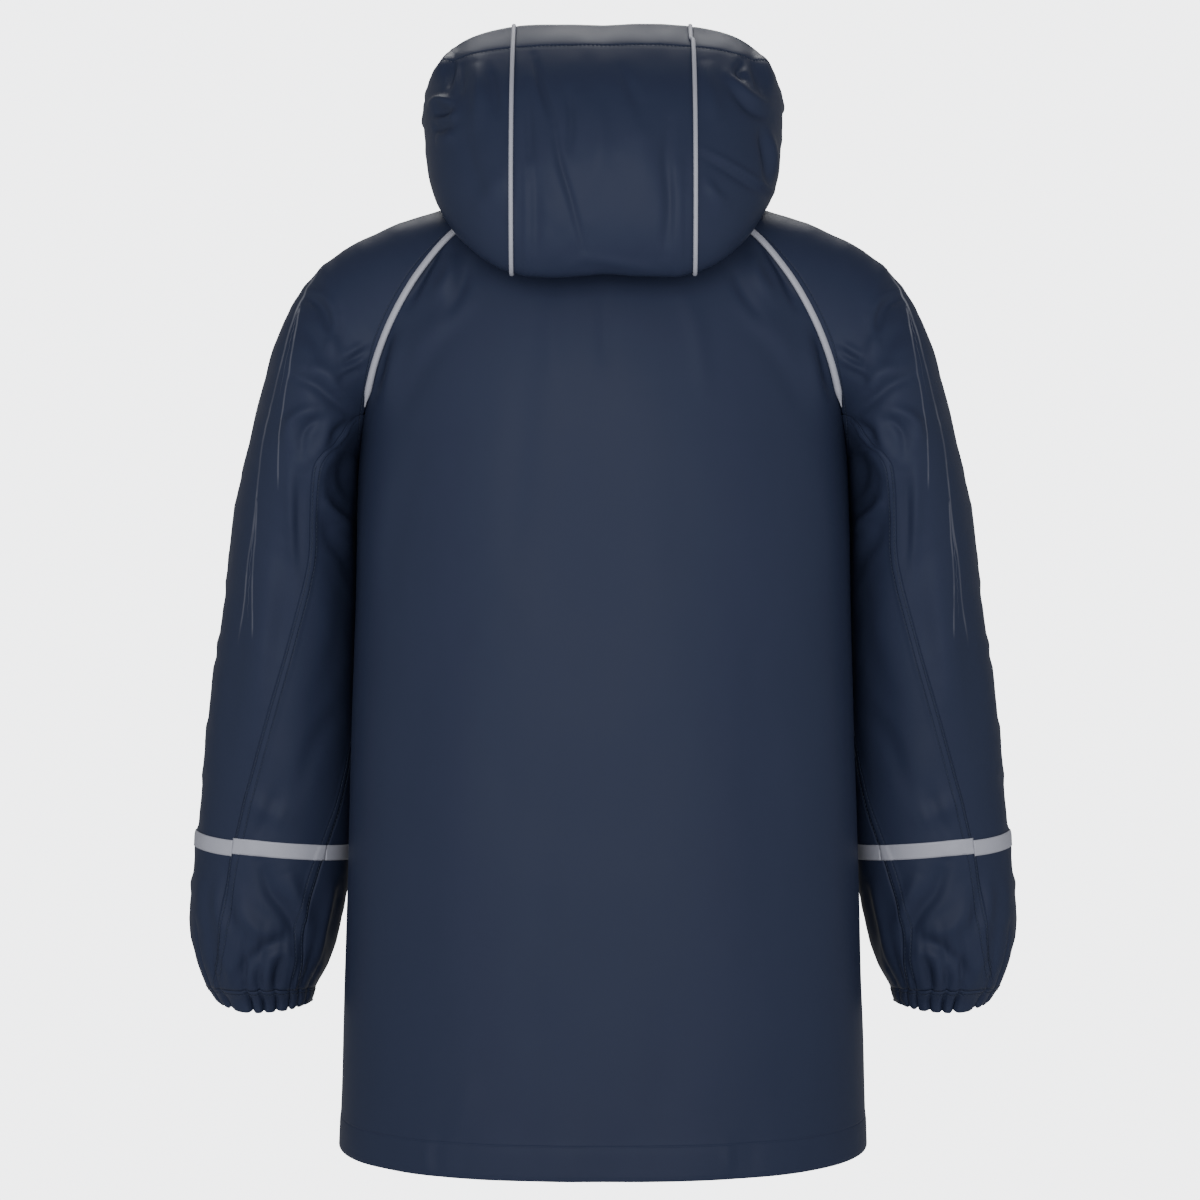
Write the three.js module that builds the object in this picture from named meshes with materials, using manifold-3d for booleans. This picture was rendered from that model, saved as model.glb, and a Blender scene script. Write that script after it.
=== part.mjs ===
// A child's hooded raincoat in coated cloth, filled out as if worn, with nobody inside.
// It has raglan sleeves of two pieces each, gathered cuffs, a three-panel hood, corded piping,
// a flat band round each sleeve and a front zip.
// Units are millimetres. +Z is up, the front faces -Y and the wearer's left is +X.
// The origin is the middle of the neck opening, where the wearer holds the coat up.

import * as THREE from "three";
import Module from "manifold-3d";
import { mergeVertices } from "three/addons/utils/BufferGeometryUtils.js";

const cloth = { wall: 1.6, seamGap: 0.3, neckGap: 0.6 };
const zip = { halfOpening: 5.4, tapeWidth: 13, tapeWall: 1.0, toothGap: 1.0, gap: 0.3 };
const slider = { at: 0.16, width: 9, length: 11, wall: 3 };
const cheek = { wall: 1.2, length: 4.8, height: 4.6, sunk: 0.2, pinBelowTop: 2 };
const pull = { pin: 0.9, play: 0.35, knuckle: 2.1, width: 5, length: 24, wall: 1.8, start: 1.6, tilt: -5 };
const pullEye = { radius: 1.3, fromEnd: 3.2 };
const band = { middle: 1.755, height: 10, thickness: 1.0, lift: 0.35 };
const cuff = { waves: 20, waveDepth: 1.3, uneven: 0.35, columns: 80, fold: 0.4 };
const hoodGather = { waves: 8, depth: 2.4, start: 0.72, fadeIn: [0.3, 0.5], fadeOut: [1.02, 0.9] };

// Piping. The lower corners of its section lie cornerOut and cornerDown from its middle, as
// shares of its half sizes.
const piping = { lift: 0.8, sides: 6, cornerOut: 0.87, cornerDown: 0.5 };
const raglanPiping = { halfWidth: 2.2, halfHeight: 1.4, from: 0.06, length: 0.74, steps: 16 };
const hoodPiping = { halfWidth: 1.6, halfHeight: 1.2, from: 0.2, length: 0.8, steps: 22 };

// Named columns, one row for each station. "at" runs from 0 at the neck to 1 at the armpit.
const table = (names, rows) =>
  rows.map((row) => Object.fromEntries(names.map((name, i) => [name, row[i]])));

// The raglan seams, back and front, from the neck to the armpit.
const raglan = table(
  ["at", "backX", "backY", "backZ", "frontX", "frontY", "frontZ"],
  [
    [0.0, 62, 40, 5, 56, -30, -4],
    [0.15, 88.3, 50, -10, 80, -44, -21],
    [0.32, 109.4, 56, -34, 100, -54, -45],
    [0.48, 124.8, 55, -59, 115.5, -57, -69],
    [0.64, 136.2, 49, -85, 129.2, -54, -93],
    [0.8, 144, 36, -112, 139.6, -43, -117],
    [0.92, 149, 16, -136, 147.2, -22, -138],
    [1.0, 151, -4, -148, 151, -4, -148],
  ],
);

// The trunk: middle of the back and of the front at each station, the angle that each half-ring
// turns through, its squareness, and the side seam below the armpit. 2 is the hem.
const trunk = table(
  ["at", "backY", "backZ", "frontY", "frontZ", "turn", "power", "sideX", "sideY", "sideZ"],
  [
    [0.0, 58, -4, -66, -43, 50, 2.0, 62, 0, 5],
    [0.15, 68, -19, -70, -54, 48, 2.0, 88, 0, -10],
    [0.32, 79, -40, -75, -68, 50, 2.0, 109, 0, -34],
    [0.48, 86, -63, -80, -83, 56, 2.05, 124, 0, -59],
    [0.64, 90.5, -87, -84.5, -101, 64, 2.15, 134, 0, -85],
    [0.8, 93, -113, -88, -121, 74, 2.3, 142, 0, -112],
    [0.92, 94, -136, -90.5, -139, 84, 2.4, 148, -2, -136],
    [1.0, 94.5, -149, -92, -149, 90, 2.5, 151, -4, -148],
    [1.25, 97, -255, -96, -255, 90, 2.5, 153.6, -2, -255],
    [1.5, 99, -362, -98, -362, 90, 2.5, 156.6, 0, -362],
    [1.75, 101, -468, -99, -468, 90, 2.5, 159.6, 0, -468],
    [2.0, 103, -577.5, -100, -575, 90, 2.5, 162.3, 0, -567],
  ],
);

// The left sleeve: its outer line, its inner line below the armpit, the angle that the open
// sections turn through and the half depth of the closed ones. 2 is the top of the cuff.
const sleeve = table(
  ["at", "outX", "outY", "outZ", "inX", "inY", "inZ", "turn", "half"],
  [
    [0.0, 67, 4, 9, 151, -4, -148, 50, 63],
    [0.15, 97, 3, 6, 151, -4, -148, 58, 63],
    [0.32, 133, 0, -5, 151, -4, -148, 70, 63],
    [0.48, 163, -3, -20, 151, -4, -148, 84, 63],
    [0.64, 189, -5, -46, 151, -4, -148, 104, 63],
    [0.8, 205, -8, -82, 151, -4, -148, 140, 63],
    [0.92, 214, -11, -112, 151, -4, -148, 160, 63],
    [1.0, 219, -13, -132, 151, -4, -148, 180, 63],
    [1.12, 228.5, -17, -172, 153.6, -14, -186, 180, 61.5],
    [1.3, 237, -21, -234, 154, -22, -244, 180, 58],
    [1.47, 245.5, -26, -290, 154.8, -28, -300, 180, 55],
    [1.64, 251.5, -30, -345, 155.6, -33, -355, 180, 52],
    [1.8, 257, -33, -398, 159, -37, -406, 180, 49],
    [1.9, 260, -35, -432, 165, -38, -436, 180, 46.5],
    [1.96, 256.5, -36, -455, 170, -39, -458, 180, 42],
    [2.0, 250, -37, -472, 177, -39, -473, 180, 35.5],
  ],
);

// Where the two seams of a sleeve run, as angles from its outer line round the back.
const sleeveSeams = table(
  ["at", "backSeam", "innerSeam"],
  [
    [0.84, 147.3, 180],
    [0.88, 138, 180],
    [0.93, 131.5, 180],
    [0.97, 126, 180],
    [1.0, 117, 180],
    [1.04, 108.5, 180],
    [1.12, 110.5, 180],
    [1.2, 111, 180],
    [1.3, 102, 180],
    [1.47, 86.5, 174],
    [1.64, 71.5, 152],
    [1.72, 66, 139.5],
    [1.8, 61, 129.5],
    [1.9, 59, 126],
    [1.96, 51.5, 131],
    [2.0, 38, 136],
  ],
);

// The gathered cuff, from the sleeve down to its edge.
const cuffRings = table(
  ["at", "outX", "outY", "outZ", "inX", "inY", "inZ", "half"],
  [
    [0.0, 250, -37, -472.6, 177, -39, -473.6, 35.5],
    [0.35, 246.5, -37.5, -479, 178.5, -39.5, -479.5, 31.5],
    [0.7, 244.5, -38, -485.5, 180, -40, -485.5, 29.5],
    [1.0, 242.5, -38, -491.5, 182, -40, -491.5, 28.5],
  ],
);

// The hood: face edge, back middle, half width, how far the sides are lifted, squareness.
// 0 is the neck and 1 the rim.
const hood = table(
  ["at", "faceX", "faceY", "faceZ", "backY", "backZ", "half", "lift", "power"],
  [
    [0.0, 12, -66, -42, 58, -3, 67, 33, 2.0],
    [0.12, 34, -70, -30, 84, -24, 82, 46, 2.6],
    [0.24, 56, -68, -14, 104, -42, 95, 45, 3.0],
    [0.36, 75, -60, 5, 117, -30, 101, 35, 3.0],
    [0.49, 90, -50, 27, 124, 0, 106.5, 22, 2.8],
    [0.62, 100, -40, 48, 122, 34, 109.5, 13, 2.5],
    [0.75, 105, -32, 68, 108, 68, 111, 5, 2.35],
    [0.88, 102, -26, 84, 83, 95, 107, -2, 2.25],
    [1.0, 92, -20, 99, 52, 114, 96.5, -8, 2.25],
  ],
);
const hoodSeamX = 54;
const hoodNeckShare = 0.22;

// The largest folds, as lines seen from behind: their ends, half width and rise.
// "both" folds are on the left and the right alike.
const foldNames = ["x0", "z0", "x1", "z1", "width", "rise", "both"];
const coatFolds = table(
  foldNames,
  [
    [187, -100, 157, -109, 8, -3.0, 1],
    [171, -116, 179, -138, 8, 2.6, 1],
    [168, -150, 154, -182, 7, -3.4, 1],
    [187, -412, 216, -456, 8, -3.0, 1],
    [88, -22, 115, -50, 6, -2.4, 1],
    [0, -330, 8, -560, 34, 2.6, 0],
    [-96, -300, -104, -570, 26, -2.4, 0],
    [92, -340, 101, -570, 26, -2.2, 0],
  ],
);
const hoodFolds = table(
  foldNames,
  [
    [30, 62, 14, -22, 6, -2.2, 0],
    [-38, 80, -36, -10, 9, 2.0, 0],
    [72, 78, 62, 10, 8, -2.0, 0],
    [-78, 84, -70, 6, 8, -2.0, 0],
  ],
);

const solids = await Module();
solids.setup();

const radians = (degrees) => (degrees * Math.PI) / 180;
const vector = (x, y, z) => new THREE.Vector3(x, y, z);

function smooth(low, high, value) {
  const share = Math.min(1, Math.max(0, (value - low) / (high - low)));
  return share * share * (3 - 2 * share);
}

// The value of a table's column at a station, on a smooth curve through its rows.
function column(rows, name, at) {
  const last = rows.length - 1;
  let i = 0;
  while (i < last - 1 && rows[i + 1].at < at) i += 1;
  const slope = (k) => {
    const a = rows[Math.max(0, k - 1)];
    const b = rows[Math.min(last, k + 1)];
    return (b[name] - a[name]) / (b.at - a.at);
  };
  const span = rows[i + 1].at - rows[i].at;
  const share = Math.min(1, Math.max(0, (at - rows[i].at) / span));
  const square = share * share;
  const cube = square * share;
  return (
    (2 * cube - 3 * square + 1) * rows[i][name] +
    (cube - 2 * square + share) * span * slope(i) +
    (3 * square - 2 * cube) * rows[i + 1][name] +
    (cube - square) * span * slope(i + 1)
  );
}

const columns = (rows, names, at) => vector(...names.map((name) => column(rows, name, at)));

// A point of a bowed section. It runs from start to end past crown, turning through 2 * turn.
function bow(start, end, crown, turn, half, power, angle) {
  const rise = (a) =>
    Math.sign(Math.cos(a)) * Math.pow(Math.max(0, 1 - Math.pow(Math.abs(Math.sin(a)), power)), 1 / power);
  const middle = start.clone().add(end).multiplyScalar(0.5);
  const across = end.clone().sub(start);
  if (across.length() < 1e-6) across.set(0, 1, 0);
  across.normalize().multiplyScalar(half * Math.sin(angle));
  const share = (rise(angle) - rise(turn)) / (1 - rise(turn));
  return crown.clone().sub(middle).multiplyScalar(share).add(middle).add(across);
}

// How far the cloth stands out at a point because of the folds.
function foldRise(folds, point, facingBack) {
  let sum = 0;
  for (const fold of folds) {
    const x = fold.both ? Math.abs(point.x) : point.x;
    const alongX = fold.x1 - fold.x0;
    const alongZ = fold.z1 - fold.z0;
    const reach = alongX * alongX + alongZ * alongZ;
    const share = Math.min(1, Math.max(0, ((x - fold.x0) * alongX + (point.z - fold.z0) * alongZ) / reach));
    const away = Math.hypot(x - fold.x0 - share * alongX, point.z - fold.z0 - share * alongZ);
    sum += fold.rise * Math.exp(-Math.pow(away / fold.width, 2));
  }
  return sum * smooth(0, 0.5, facingBack);
}

// The outward normal of a surface function at (s, t), from its neighbours.
function normalAt(surface, s, t, range) {
  const step = 0.004;
  const s0 = Math.max(range.s0, s - step);
  const s1 = Math.min(range.s1, s + step);
  const t0 = Math.max(range.t0, t - step);
  const t1 = Math.min(range.t1, t + step);
  const acrossWay = surface(s1, t).sub(surface(s0, t));
  const alongWay = surface(s, t1).sub(surface(s, t0));
  return alongWay.cross(acrossWay).normalize();
}

const trunkTurn = (t) => radians(Math.min(90, column(trunk, "turn", t)));

// Trunk surfaces, "back" and "front". s runs from -1 at the right seam to 1 at the left seam.
function trunkPoint(side, s, t) {
  const edge =
    t <= 1
      ? columns(raglan, [side + "X", side + "Y", side + "Z"], t)
      : columns(trunk, ["sideX", "sideY", "sideZ"], t);
  const crown = vector(0, column(trunk, side + "Y", t), column(trunk, side + "Z", t));
  const turn = trunkTurn(t);
  const opposite = edge.clone().setX(-edge.x);
  return bow(opposite, edge, crown, turn, edge.x / Math.sin(turn), column(trunk, "power", t), s * turn);
}

// Where on a front, as a share of the way to its side seam, a point lies x from the middle.
function frontShare(x, t) {
  const turn = trunkTurn(t);
  return Math.asin((x / trunkPoint("front", 1, t).x) * Math.sin(turn)) / turn;
}

// Half the angle that a sleeve section turns through, and its half depth.
function sleeveSection(t) {
  const inner = columns(sleeve, ["inX", "inY", "inZ"], t);
  const back = t < 1 ? columns(raglan, ["backX", "backY", "backZ"], t) : inner;
  const front = t < 1 ? columns(raglan, ["frontX", "frontY", "frontZ"], t) : inner.clone();
  const reach = back.distanceTo(front) / 2;
  const half = column(sleeve, "half", t);
  const wrapped = Math.PI - Math.asin(Math.min(1, reach / half));
  const share = smooth(0.6, 0.85, t);
  const turn = (1 - share) * radians(column(sleeve, "turn", t)) + share * wrapped;
  return { back, front, turn, half: share < 1 ? reach / Math.sin(turn) : half };
}

// Left sleeve surface. The angle is 0 on the outer line and grows round the back.
function sleevePoint(angle, t) {
  const section = sleeveSection(t);
  const crown = columns(sleeve, ["outX", "outY", "outZ"], t);
  return bow(section.front, section.back, crown, section.turn, section.half, 2, angle);
}

const backSeamAngle = (t) => {
  const turn = sleeveSection(t).turn;
  return t < sleeveSeams[0].at ? turn : Math.min(turn, radians(column(sleeveSeams, "backSeam", t)));
};
const innerSeamAngle = (t) =>
  t < 1 ? sleeveSection(t).turn : radians(column(sleeveSeams, "innerSeam", t));
const frontSeamAngle = (t) =>
  t < 1 ? -sleeveSection(t).turn : innerSeamAngle(t) - 2 * Math.PI;

// The neck line from the back middle round the left side to the zip.
const neckLine = (() => {
  const points = [];
  const steps = 24;
  for (let i = 0; i <= steps; i += 1) points.push(trunkPoint("back", i / steps, 0));
  const turn = sleeveSection(0).turn;
  for (let i = 1; i <= steps; i += 1) points.push(sleevePoint(turn * (1 - (2 * i) / steps), 0));
  for (let i = 1; i <= steps; i += 1) points.push(trunkPoint("front", 1 - i / steps, 0));
  return points.filter((p, i) => i < 2 * steps || p.x > hood[0].faceX);
})();
const neckCurve = new THREE.CatmullRomCurve3(neckLine, false, "chordal");

// The angle that the hood turns through from the back middle to a face edge.
const hoodTurn = (t) =>
  Math.PI - Math.asin(Math.min(1, column(hood, "faceX", t) / column(hood, "half", t)));

// Hood surface from its table. s runs from -1 at the right face edge over the back to 1.
function hoodForm(s, t) {
  const face = columns(hood, ["faceX", "faceY", "faceZ"], t);
  const half = column(hood, "half", t);
  const turn = hoodTurn(t);
  const crown = vector(0, column(hood, "backY", t), column(hood, "backZ", t));
  const angle = s * turn;
  const point = bow(face.clone().setX(-face.x), face, crown, turn, half, column(hood, "power", t), angle);
  const reach = Math.pow(Math.sin(angle), Math.abs(angle) < Math.PI / 2 ? 4 : 2);
  point.z += column(hood, "lift", t) * (reach - Math.pow(Math.sin(turn), 2) * Math.abs(s));
  return point;
}

// How far round from the back middle the piped seams of the hood lie.
function hoodSeam(t) {
  return Math.asin(hoodSeamX / column(hood, "half", t)) / hoodTurn(t);
}

// Hood surface with its lower edge brought onto the neck line.
function hoodPoint(s, t) {
  const point = hoodForm(s, t);
  const nearNeck = 1 - smooth(0, hoodNeckShare, t);
  if (nearNeck > 0) {
    const onNeck = neckCurve.getPointAt(Math.min(1, Math.abs(s)));
    if (s < 0) onNeck.x *= -1;
    onNeck.z += cloth.neckGap;
    point.addScaledVector(onNeck.sub(hoodForm(s, 0)), nearNeck);
  }
  return point;
}

// A closed solid through loops of equal length. Each loop is an outer run and an inner run back.
function loft(loops, closed) {
  const size = loops[0].length;
  const positions = loops.flat().flatMap((p) => [p.x, p.y, p.z]);
  const faces = [];
  const quad = (a, b, c, d) => faces.push([a, b, c], [a, c, d]);
  const count = closed ? loops.length : loops.length - 1;
  for (let i = 0; i < count; i += 1) {
    const here = i * size;
    const next = ((i + 1) % loops.length) * size;
    for (let k = 0; k < size; k += 1) {
      const after = (k + 1) % size;
      quad(here + k, here + after, next + after, next + k);
    }
  }
  if (!closed) {
    const far = (loops.length - 1) * size;
    for (let k = 0; k < size / 2 - 1; k += 1) {
      quad(k, size - 1 - k, size - 2 - k, k + 1);
      quad(far + k, far + k + 1, far + size - 2 - k, far + size - 1 - k);
    }
  }
  const at = (i) => vector(positions[3 * i], positions[3 * i + 1], positions[3 * i + 2]);
  const volume = faces.reduce((sum, [a, b, c]) => sum + at(a).dot(at(b).cross(at(c))), 0);
  if (volume < 0) faces.forEach((face) => face.reverse());
  const geometry = new THREE.BufferGeometry();
  geometry.setAttribute("position", new THREE.Float32BufferAttribute(positions, 3));
  geometry.setIndex(faces.flat());
  geometry.computeVertexNormals();
  return geometry;
}

// A solid from a three.js geometry, for joining and cutting
function solidOf(geometry) {
  const bare = new THREE.BufferGeometry();
  bare.setAttribute("position", geometry.getAttribute("position"));
  if (geometry.index) bare.setIndex(geometry.index);
  const merged = mergeVertices(bare, 1e-4);
  const vertProperties = Float32Array.from(merged.getAttribute("position").array);
  const triVerts = Uint32Array.from(merged.index.array);
  return new solids.Manifold(new solids.Mesh({ numProp: 3, vertProperties, triVerts }));
}

// Geometry from a solid, moved by a matrix
function fromManifold(solid, matrix) {
  const mesh = solid.getMesh();
  const geometry = new THREE.BufferGeometry();
  geometry.setAttribute("position", new THREE.Float32BufferAttribute(mesh.vertProperties, 3));
  geometry.setIndex(Array.from(mesh.triVerts));
  geometry.applyMatrix4(matrix);
  const flat = geometry.toNonIndexed();
  flat.computeVertexNormals();
  return mergeVertices(flat, 1e-4);
}

// Moves the first and last points of a run inwards by a seam's share.
function trimRun(run, start, end) {
  const last = run.length - 1;
  const pull = (i, k, gap) => run[i].add(run[k].clone().sub(run[i]).setLength(gap));
  if (start > 0) pull(0, 1, start);
  if (end > 0) pull(last, last - 1, end);
  return run;
}

// A wall of cloth over a surface. low(t) and high(t) bound s, and stops are the values of t.
function clothWall(surface, low, high, stops, count, options = {}) {
  const { wall = cloth.wall, gap = cloth.seamGap / 2, topGap = 0, endGap = gap } = options;
  const { extra = () => 0, mirror = false, folds = coatFolds } = options;
  const grid = stops.map((t) => {
    const s0 = low(t);
    const s1 = high(t);
    return Array.from({ length: count + 1 }, (_, i) => s0 + ((s1 - s0) * i) / count).map((s) => {
      const range = { s0: s0 - 1e-9, s1: s1 + 1e-9, t0: stops[0], t1: stops[stops.length - 1] };
      const normal = normalAt(surface, s, t, range);
      const base = surface(s, t);
      const rise = foldRise(folds, base, normal.y) + extra(s, t);
      return {
        outer: base.clone().addScaledVector(normal, rise),
        inner: base.clone().addScaledVector(normal, rise - wall),
      };
    });
  });
  const trimAcross = (key) => {
    for (let i = 0; i <= count; i += 1) {
      const run = trimRun(grid.map((row) => row[i][key]), topGap, endGap);
      run.forEach((p, k) => grid[k][i][key].copy(p));
    }
  };
  trimAcross("outer");
  trimAcross("inner");
  const loops = grid.map((row) => {
    const outer = trimRun(row.map((cell) => cell.outer), gap, gap);
    const inner = trimRun(row.map((cell) => cell.inner), gap, gap);
    return [...outer, ...inner.reverse()];
  });
  if (mirror) loops.flat().forEach((p) => p.setX(-p.x));
  return loft(loops, false);
}

const finishes = {
  shell: new THREE.MeshStandardMaterial({ color: 0x232c3f, roughness: 0.42, metalness: 0 }),
  reflective: new THREE.MeshStandardMaterial({ color: 0x8f929c, roughness: 0.5, metalness: 0.15 }),
  zipTape: new THREE.MeshStandardMaterial({ color: 0x1c2331, roughness: 0.85, metalness: 0 }),
  zipMetal: new THREE.MeshStandardMaterial({ color: 0x2b3345, roughness: 0.35, metalness: 0.6 }),
};

const coat = new THREE.Group();

function addPiece(name, geometry, finish, parent = coat) {
  const mesh = new THREE.Mesh(geometry, finishes[finish]);
  mesh.name = name;
  parent.add(mesh);
  return mesh;
}

const yokeStops = [0, 0.08, 0.16, 0.24, 0.32, 0.4, 0.48, 0.56, 0.64, 0.72, 0.8, 0.845, 0.9, 0.95, 1];
const trunkStops = [1.12, 1.25, 1.4, 1.55, 1.7, 1.85, 2];
const armStops = [0.95, 0.98, 1, 1.04, 1.12, 1.24, 1.37, 1.5];
const wristStops = [1.5, 1.6, 1.68, 1.76, 1.84, 1.9, 1.95, 2];

// Back and fronts
function addTrunk() {
  const stops = [...yokeStops, ...trunkStops];
  const back = (s, t) => trunkPoint("back", -s, t);
  addPiece("back", clothWall(back, () => -1, () => 1, stops, 18, { endGap: 0 }), "shell");
  const front = (s, t) => trunkPoint("front", s, t);
  const zipEdge = (t) => frontShare(zip.halfOpening, t);
  for (const [name, mirror] of [["front_left", false], ["front_right", true]]) {
    addPiece(name, clothWall(front, zipEdge, () => 1, stops, 9, { endGap: 0, mirror }), "shell");
  }
}

// Sleeves: an outer piece from the neck to the cuff, in three lengths, and an under piece
// below the armpit
function addSleeve(name, mirror) {
  const half = cloth.seamGap / 2;
  const lengths = [
    ["_shoulder", yokeStops.filter((t) => t <= armStops[0]), { mirror, endGap: half }],
    ["_arm", armStops, { mirror, topGap: half, endGap: half }],
    ["_wrist", wristStops, { mirror, topGap: half }],
  ];
  for (const [suffix, stops, options] of lengths) {
    const outer = clothWall(sleevePoint, frontSeamAngle, backSeamAngle, stops, 22, options);
    addPiece(name + suffix, outer, "shell");
  }
  const underStops = [0.845, 0.9, ...armStops, ...wristStops.slice(1)];
  const under = clothWall(sleevePoint, backSeamAngle, innerSeamAngle, underStops, 5, { mirror });
  addPiece(name + "_under", under, "shell");
}

// The outline of a cuff ring, pleated by the elastic inside it
function cuffPoint(angle, at, inward) {
  const crown = columns(cuffRings, ["outX", "outY", "outZ"], at);
  const inner = columns(cuffRings, ["inX", "inY", "inZ"], at);
  const middle = crown.clone().add(inner).multiplyScalar(0.5);
  const half = column(cuffRings, "half", at);
  const reach = crown.distanceTo(inner) / 2;
  const height = 1 - cuff.uneven + cuff.uneven * Math.sin(3 * angle + 1);
  const wave = Math.sin(cuff.waves * angle) * height;
  const depth = cuff.waveDepth * wave * smooth(-0.1, 0.6, at) - inward;
  const outward = crown.clone().sub(inner).normalize();
  return middle
    .addScaledVector(outward, (reach + depth) * Math.cos(angle))
    .add(vector(0, (half + depth) * Math.sin(angle), 0));
}

function addCuff(name, mirror) {
  const stops = [0, 0.35, 0.7, 1];
  const loops = Array.from({ length: cuff.columns }, (_, i) => {
    const angle = (2 * Math.PI * i) / cuff.columns;
    const outer = stops.map((at) => cuffPoint(angle, at, 0));
    const inner = [1, 0].map((at) => cuffPoint(angle, at, cloth.wall + cuff.fold));
    return [...outer, ...inner];
  });
  if (mirror) loops.flat().forEach((p) => p.setX(-p.x));
  addPiece(name, loft(loops, true), "shell");
}

// Hood: a middle panel between the piped seams, and two side panels gathered at the face edge
function addHood() {
  const stops = Array.from({ length: 26 }, (_, i) => i / 25);
  const gather = (s, t) => {
    const along = smooth(...hoodGather.fadeIn, t) * smooth(...hoodGather.fadeOut, t);
    const reach = smooth(hoodGather.start, 1, Math.abs(s)) * along;
    return hoodGather.depth * reach * Math.sin(2 * Math.PI * hoodGather.waves * t);
  };
  const plain = { endGap: 0, folds: hoodFolds };
  const middle = clothWall(hoodPoint, (t) => -hoodSeam(t), hoodSeam, stops, 8, plain);
  addPiece("hood_middle", middle, "shell");
  for (const [name, mirror] of [["hood_left", false], ["hood_right", true]]) {
    const options = { ...plain, extra: gather, mirror };
    addPiece(name, clothWall(hoodPoint, hoodSeam, () => 1, stops, 12, options), "shell");
  }
}

// A flattened cord that lies along a seam: seam(t) is its line and normals(t) are those of the
// cloth on its two sides. It rides higher where they fold together.
function addPiping(name, seam, normals, cord, mirror) {
  const { halfWidth, halfHeight, from, length, steps } = cord;
  const stops = Array.from({ length: steps + 1 }, (_, i) => from + (length * i) / steps);
  const loops = stops.map((t, i) => {
    const before = seam(stops[Math.max(0, i - 1)]);
    const after = seam(stops[Math.min(stops.length - 1, i + 1)]);
    const [one, other] = normals(t);
    const up = one.clone().add(other).normalize();
    const side = after.sub(before).normalize().cross(up).normalize();
    const isValley = Math.sign(one.dot(side)) * Math.sign(other.dot(side)) < 0;
    const slope = isValley ? Math.tan(Math.acos(Math.min(1, up.dot(one)))) : 0;
    const overCorner = piping.cornerDown * halfHeight + piping.cornerOut * halfWidth * slope;
    const rise = Math.max(halfHeight, overCorner);
    const middle = seam(t).addScaledVector(up, piping.lift + rise);
    return Array.from({ length: piping.sides }, (_, k) => {
      const angle = (2 * Math.PI * (k + 0.5)) / piping.sides;
      return middle
        .clone()
        .addScaledVector(side, halfWidth * Math.cos(angle))
        .addScaledVector(up, halfHeight * Math.sin(angle));
    });
  });
  if (mirror) loops.flat().forEach((p) => p.setX(-p.x));
  addPiece(name, loft(loops, false), "reflective");
}

function addAllPiping() {
  const whole = { s0: -1, s1: 1, t0: 0, t1: 1 };
  for (const side of ["back", "front"]) {
    const sign = side === "back" ? 1 : -1;
    const seam = (t) => trunkPoint(side, 1, t);
    const normals = (t) => {
      const onTrunk = normalAt((s, v) => trunkPoint(side, -s * sign, v), -sign, t, whole);
      const turn = sleeveSection(t).turn;
      const range = { s0: -turn, s1: turn, t0: 0, t1: 1 };
      const onSleeve = normalAt(sleevePoint, sign * turn, t, range);
      return [onTrunk, onSleeve];
    };
    addPiping("piping_" + side + "_left", seam, normals, raglanPiping, false);
    addPiping("piping_" + side + "_right", seam, normals, raglanPiping, true);
  }
  const seam = (t) => hoodPoint(hoodSeam(t), t);
  const normals = (t) => {
    const normal = normalAt(hoodPoint, hoodSeam(t), t, whole);
    return [normal, normal];
  };
  addPiping("piping_hood_left", seam, normals, hoodPiping, false);
  addPiping("piping_hood_right", seam, normals, hoodPiping, true);
}

// A flat band round a sleeve, in one length on each piece of it
function addBands(name, mirror) {
  const lengthOfAt = sleevePoint(0, 1.7).distanceTo(sleevePoint(0, 1.8)) / 0.1;
  const halfAt = band.height / 2 / lengthOfAt;
  const stops = [band.middle - halfAt, band.middle + halfAt];
  const lifted = (s, t) => {
    const range = { s0: s - 1, s1: s + 1, t0: 0, t1: 2 };
    const normal = normalAt(sleevePoint, s, t, range);
    return sleevePoint(s, t).addScaledVector(normal, band.lift + band.thickness);
  };
  const options = { wall: band.thickness, endGap: 0, mirror };
  const front = frontSeamAngle(band.middle);
  const back = backSeamAngle(band.middle);
  const inner = innerSeamAngle(band.middle);
  addPiece(name + "_outer", clothWall(lifted, () => front, () => back, stops, 22, options), "reflective");
  addPiece(name + "_under", clothWall(lifted, () => back, () => inner, stops, 6, options), "reflective");
}

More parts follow.
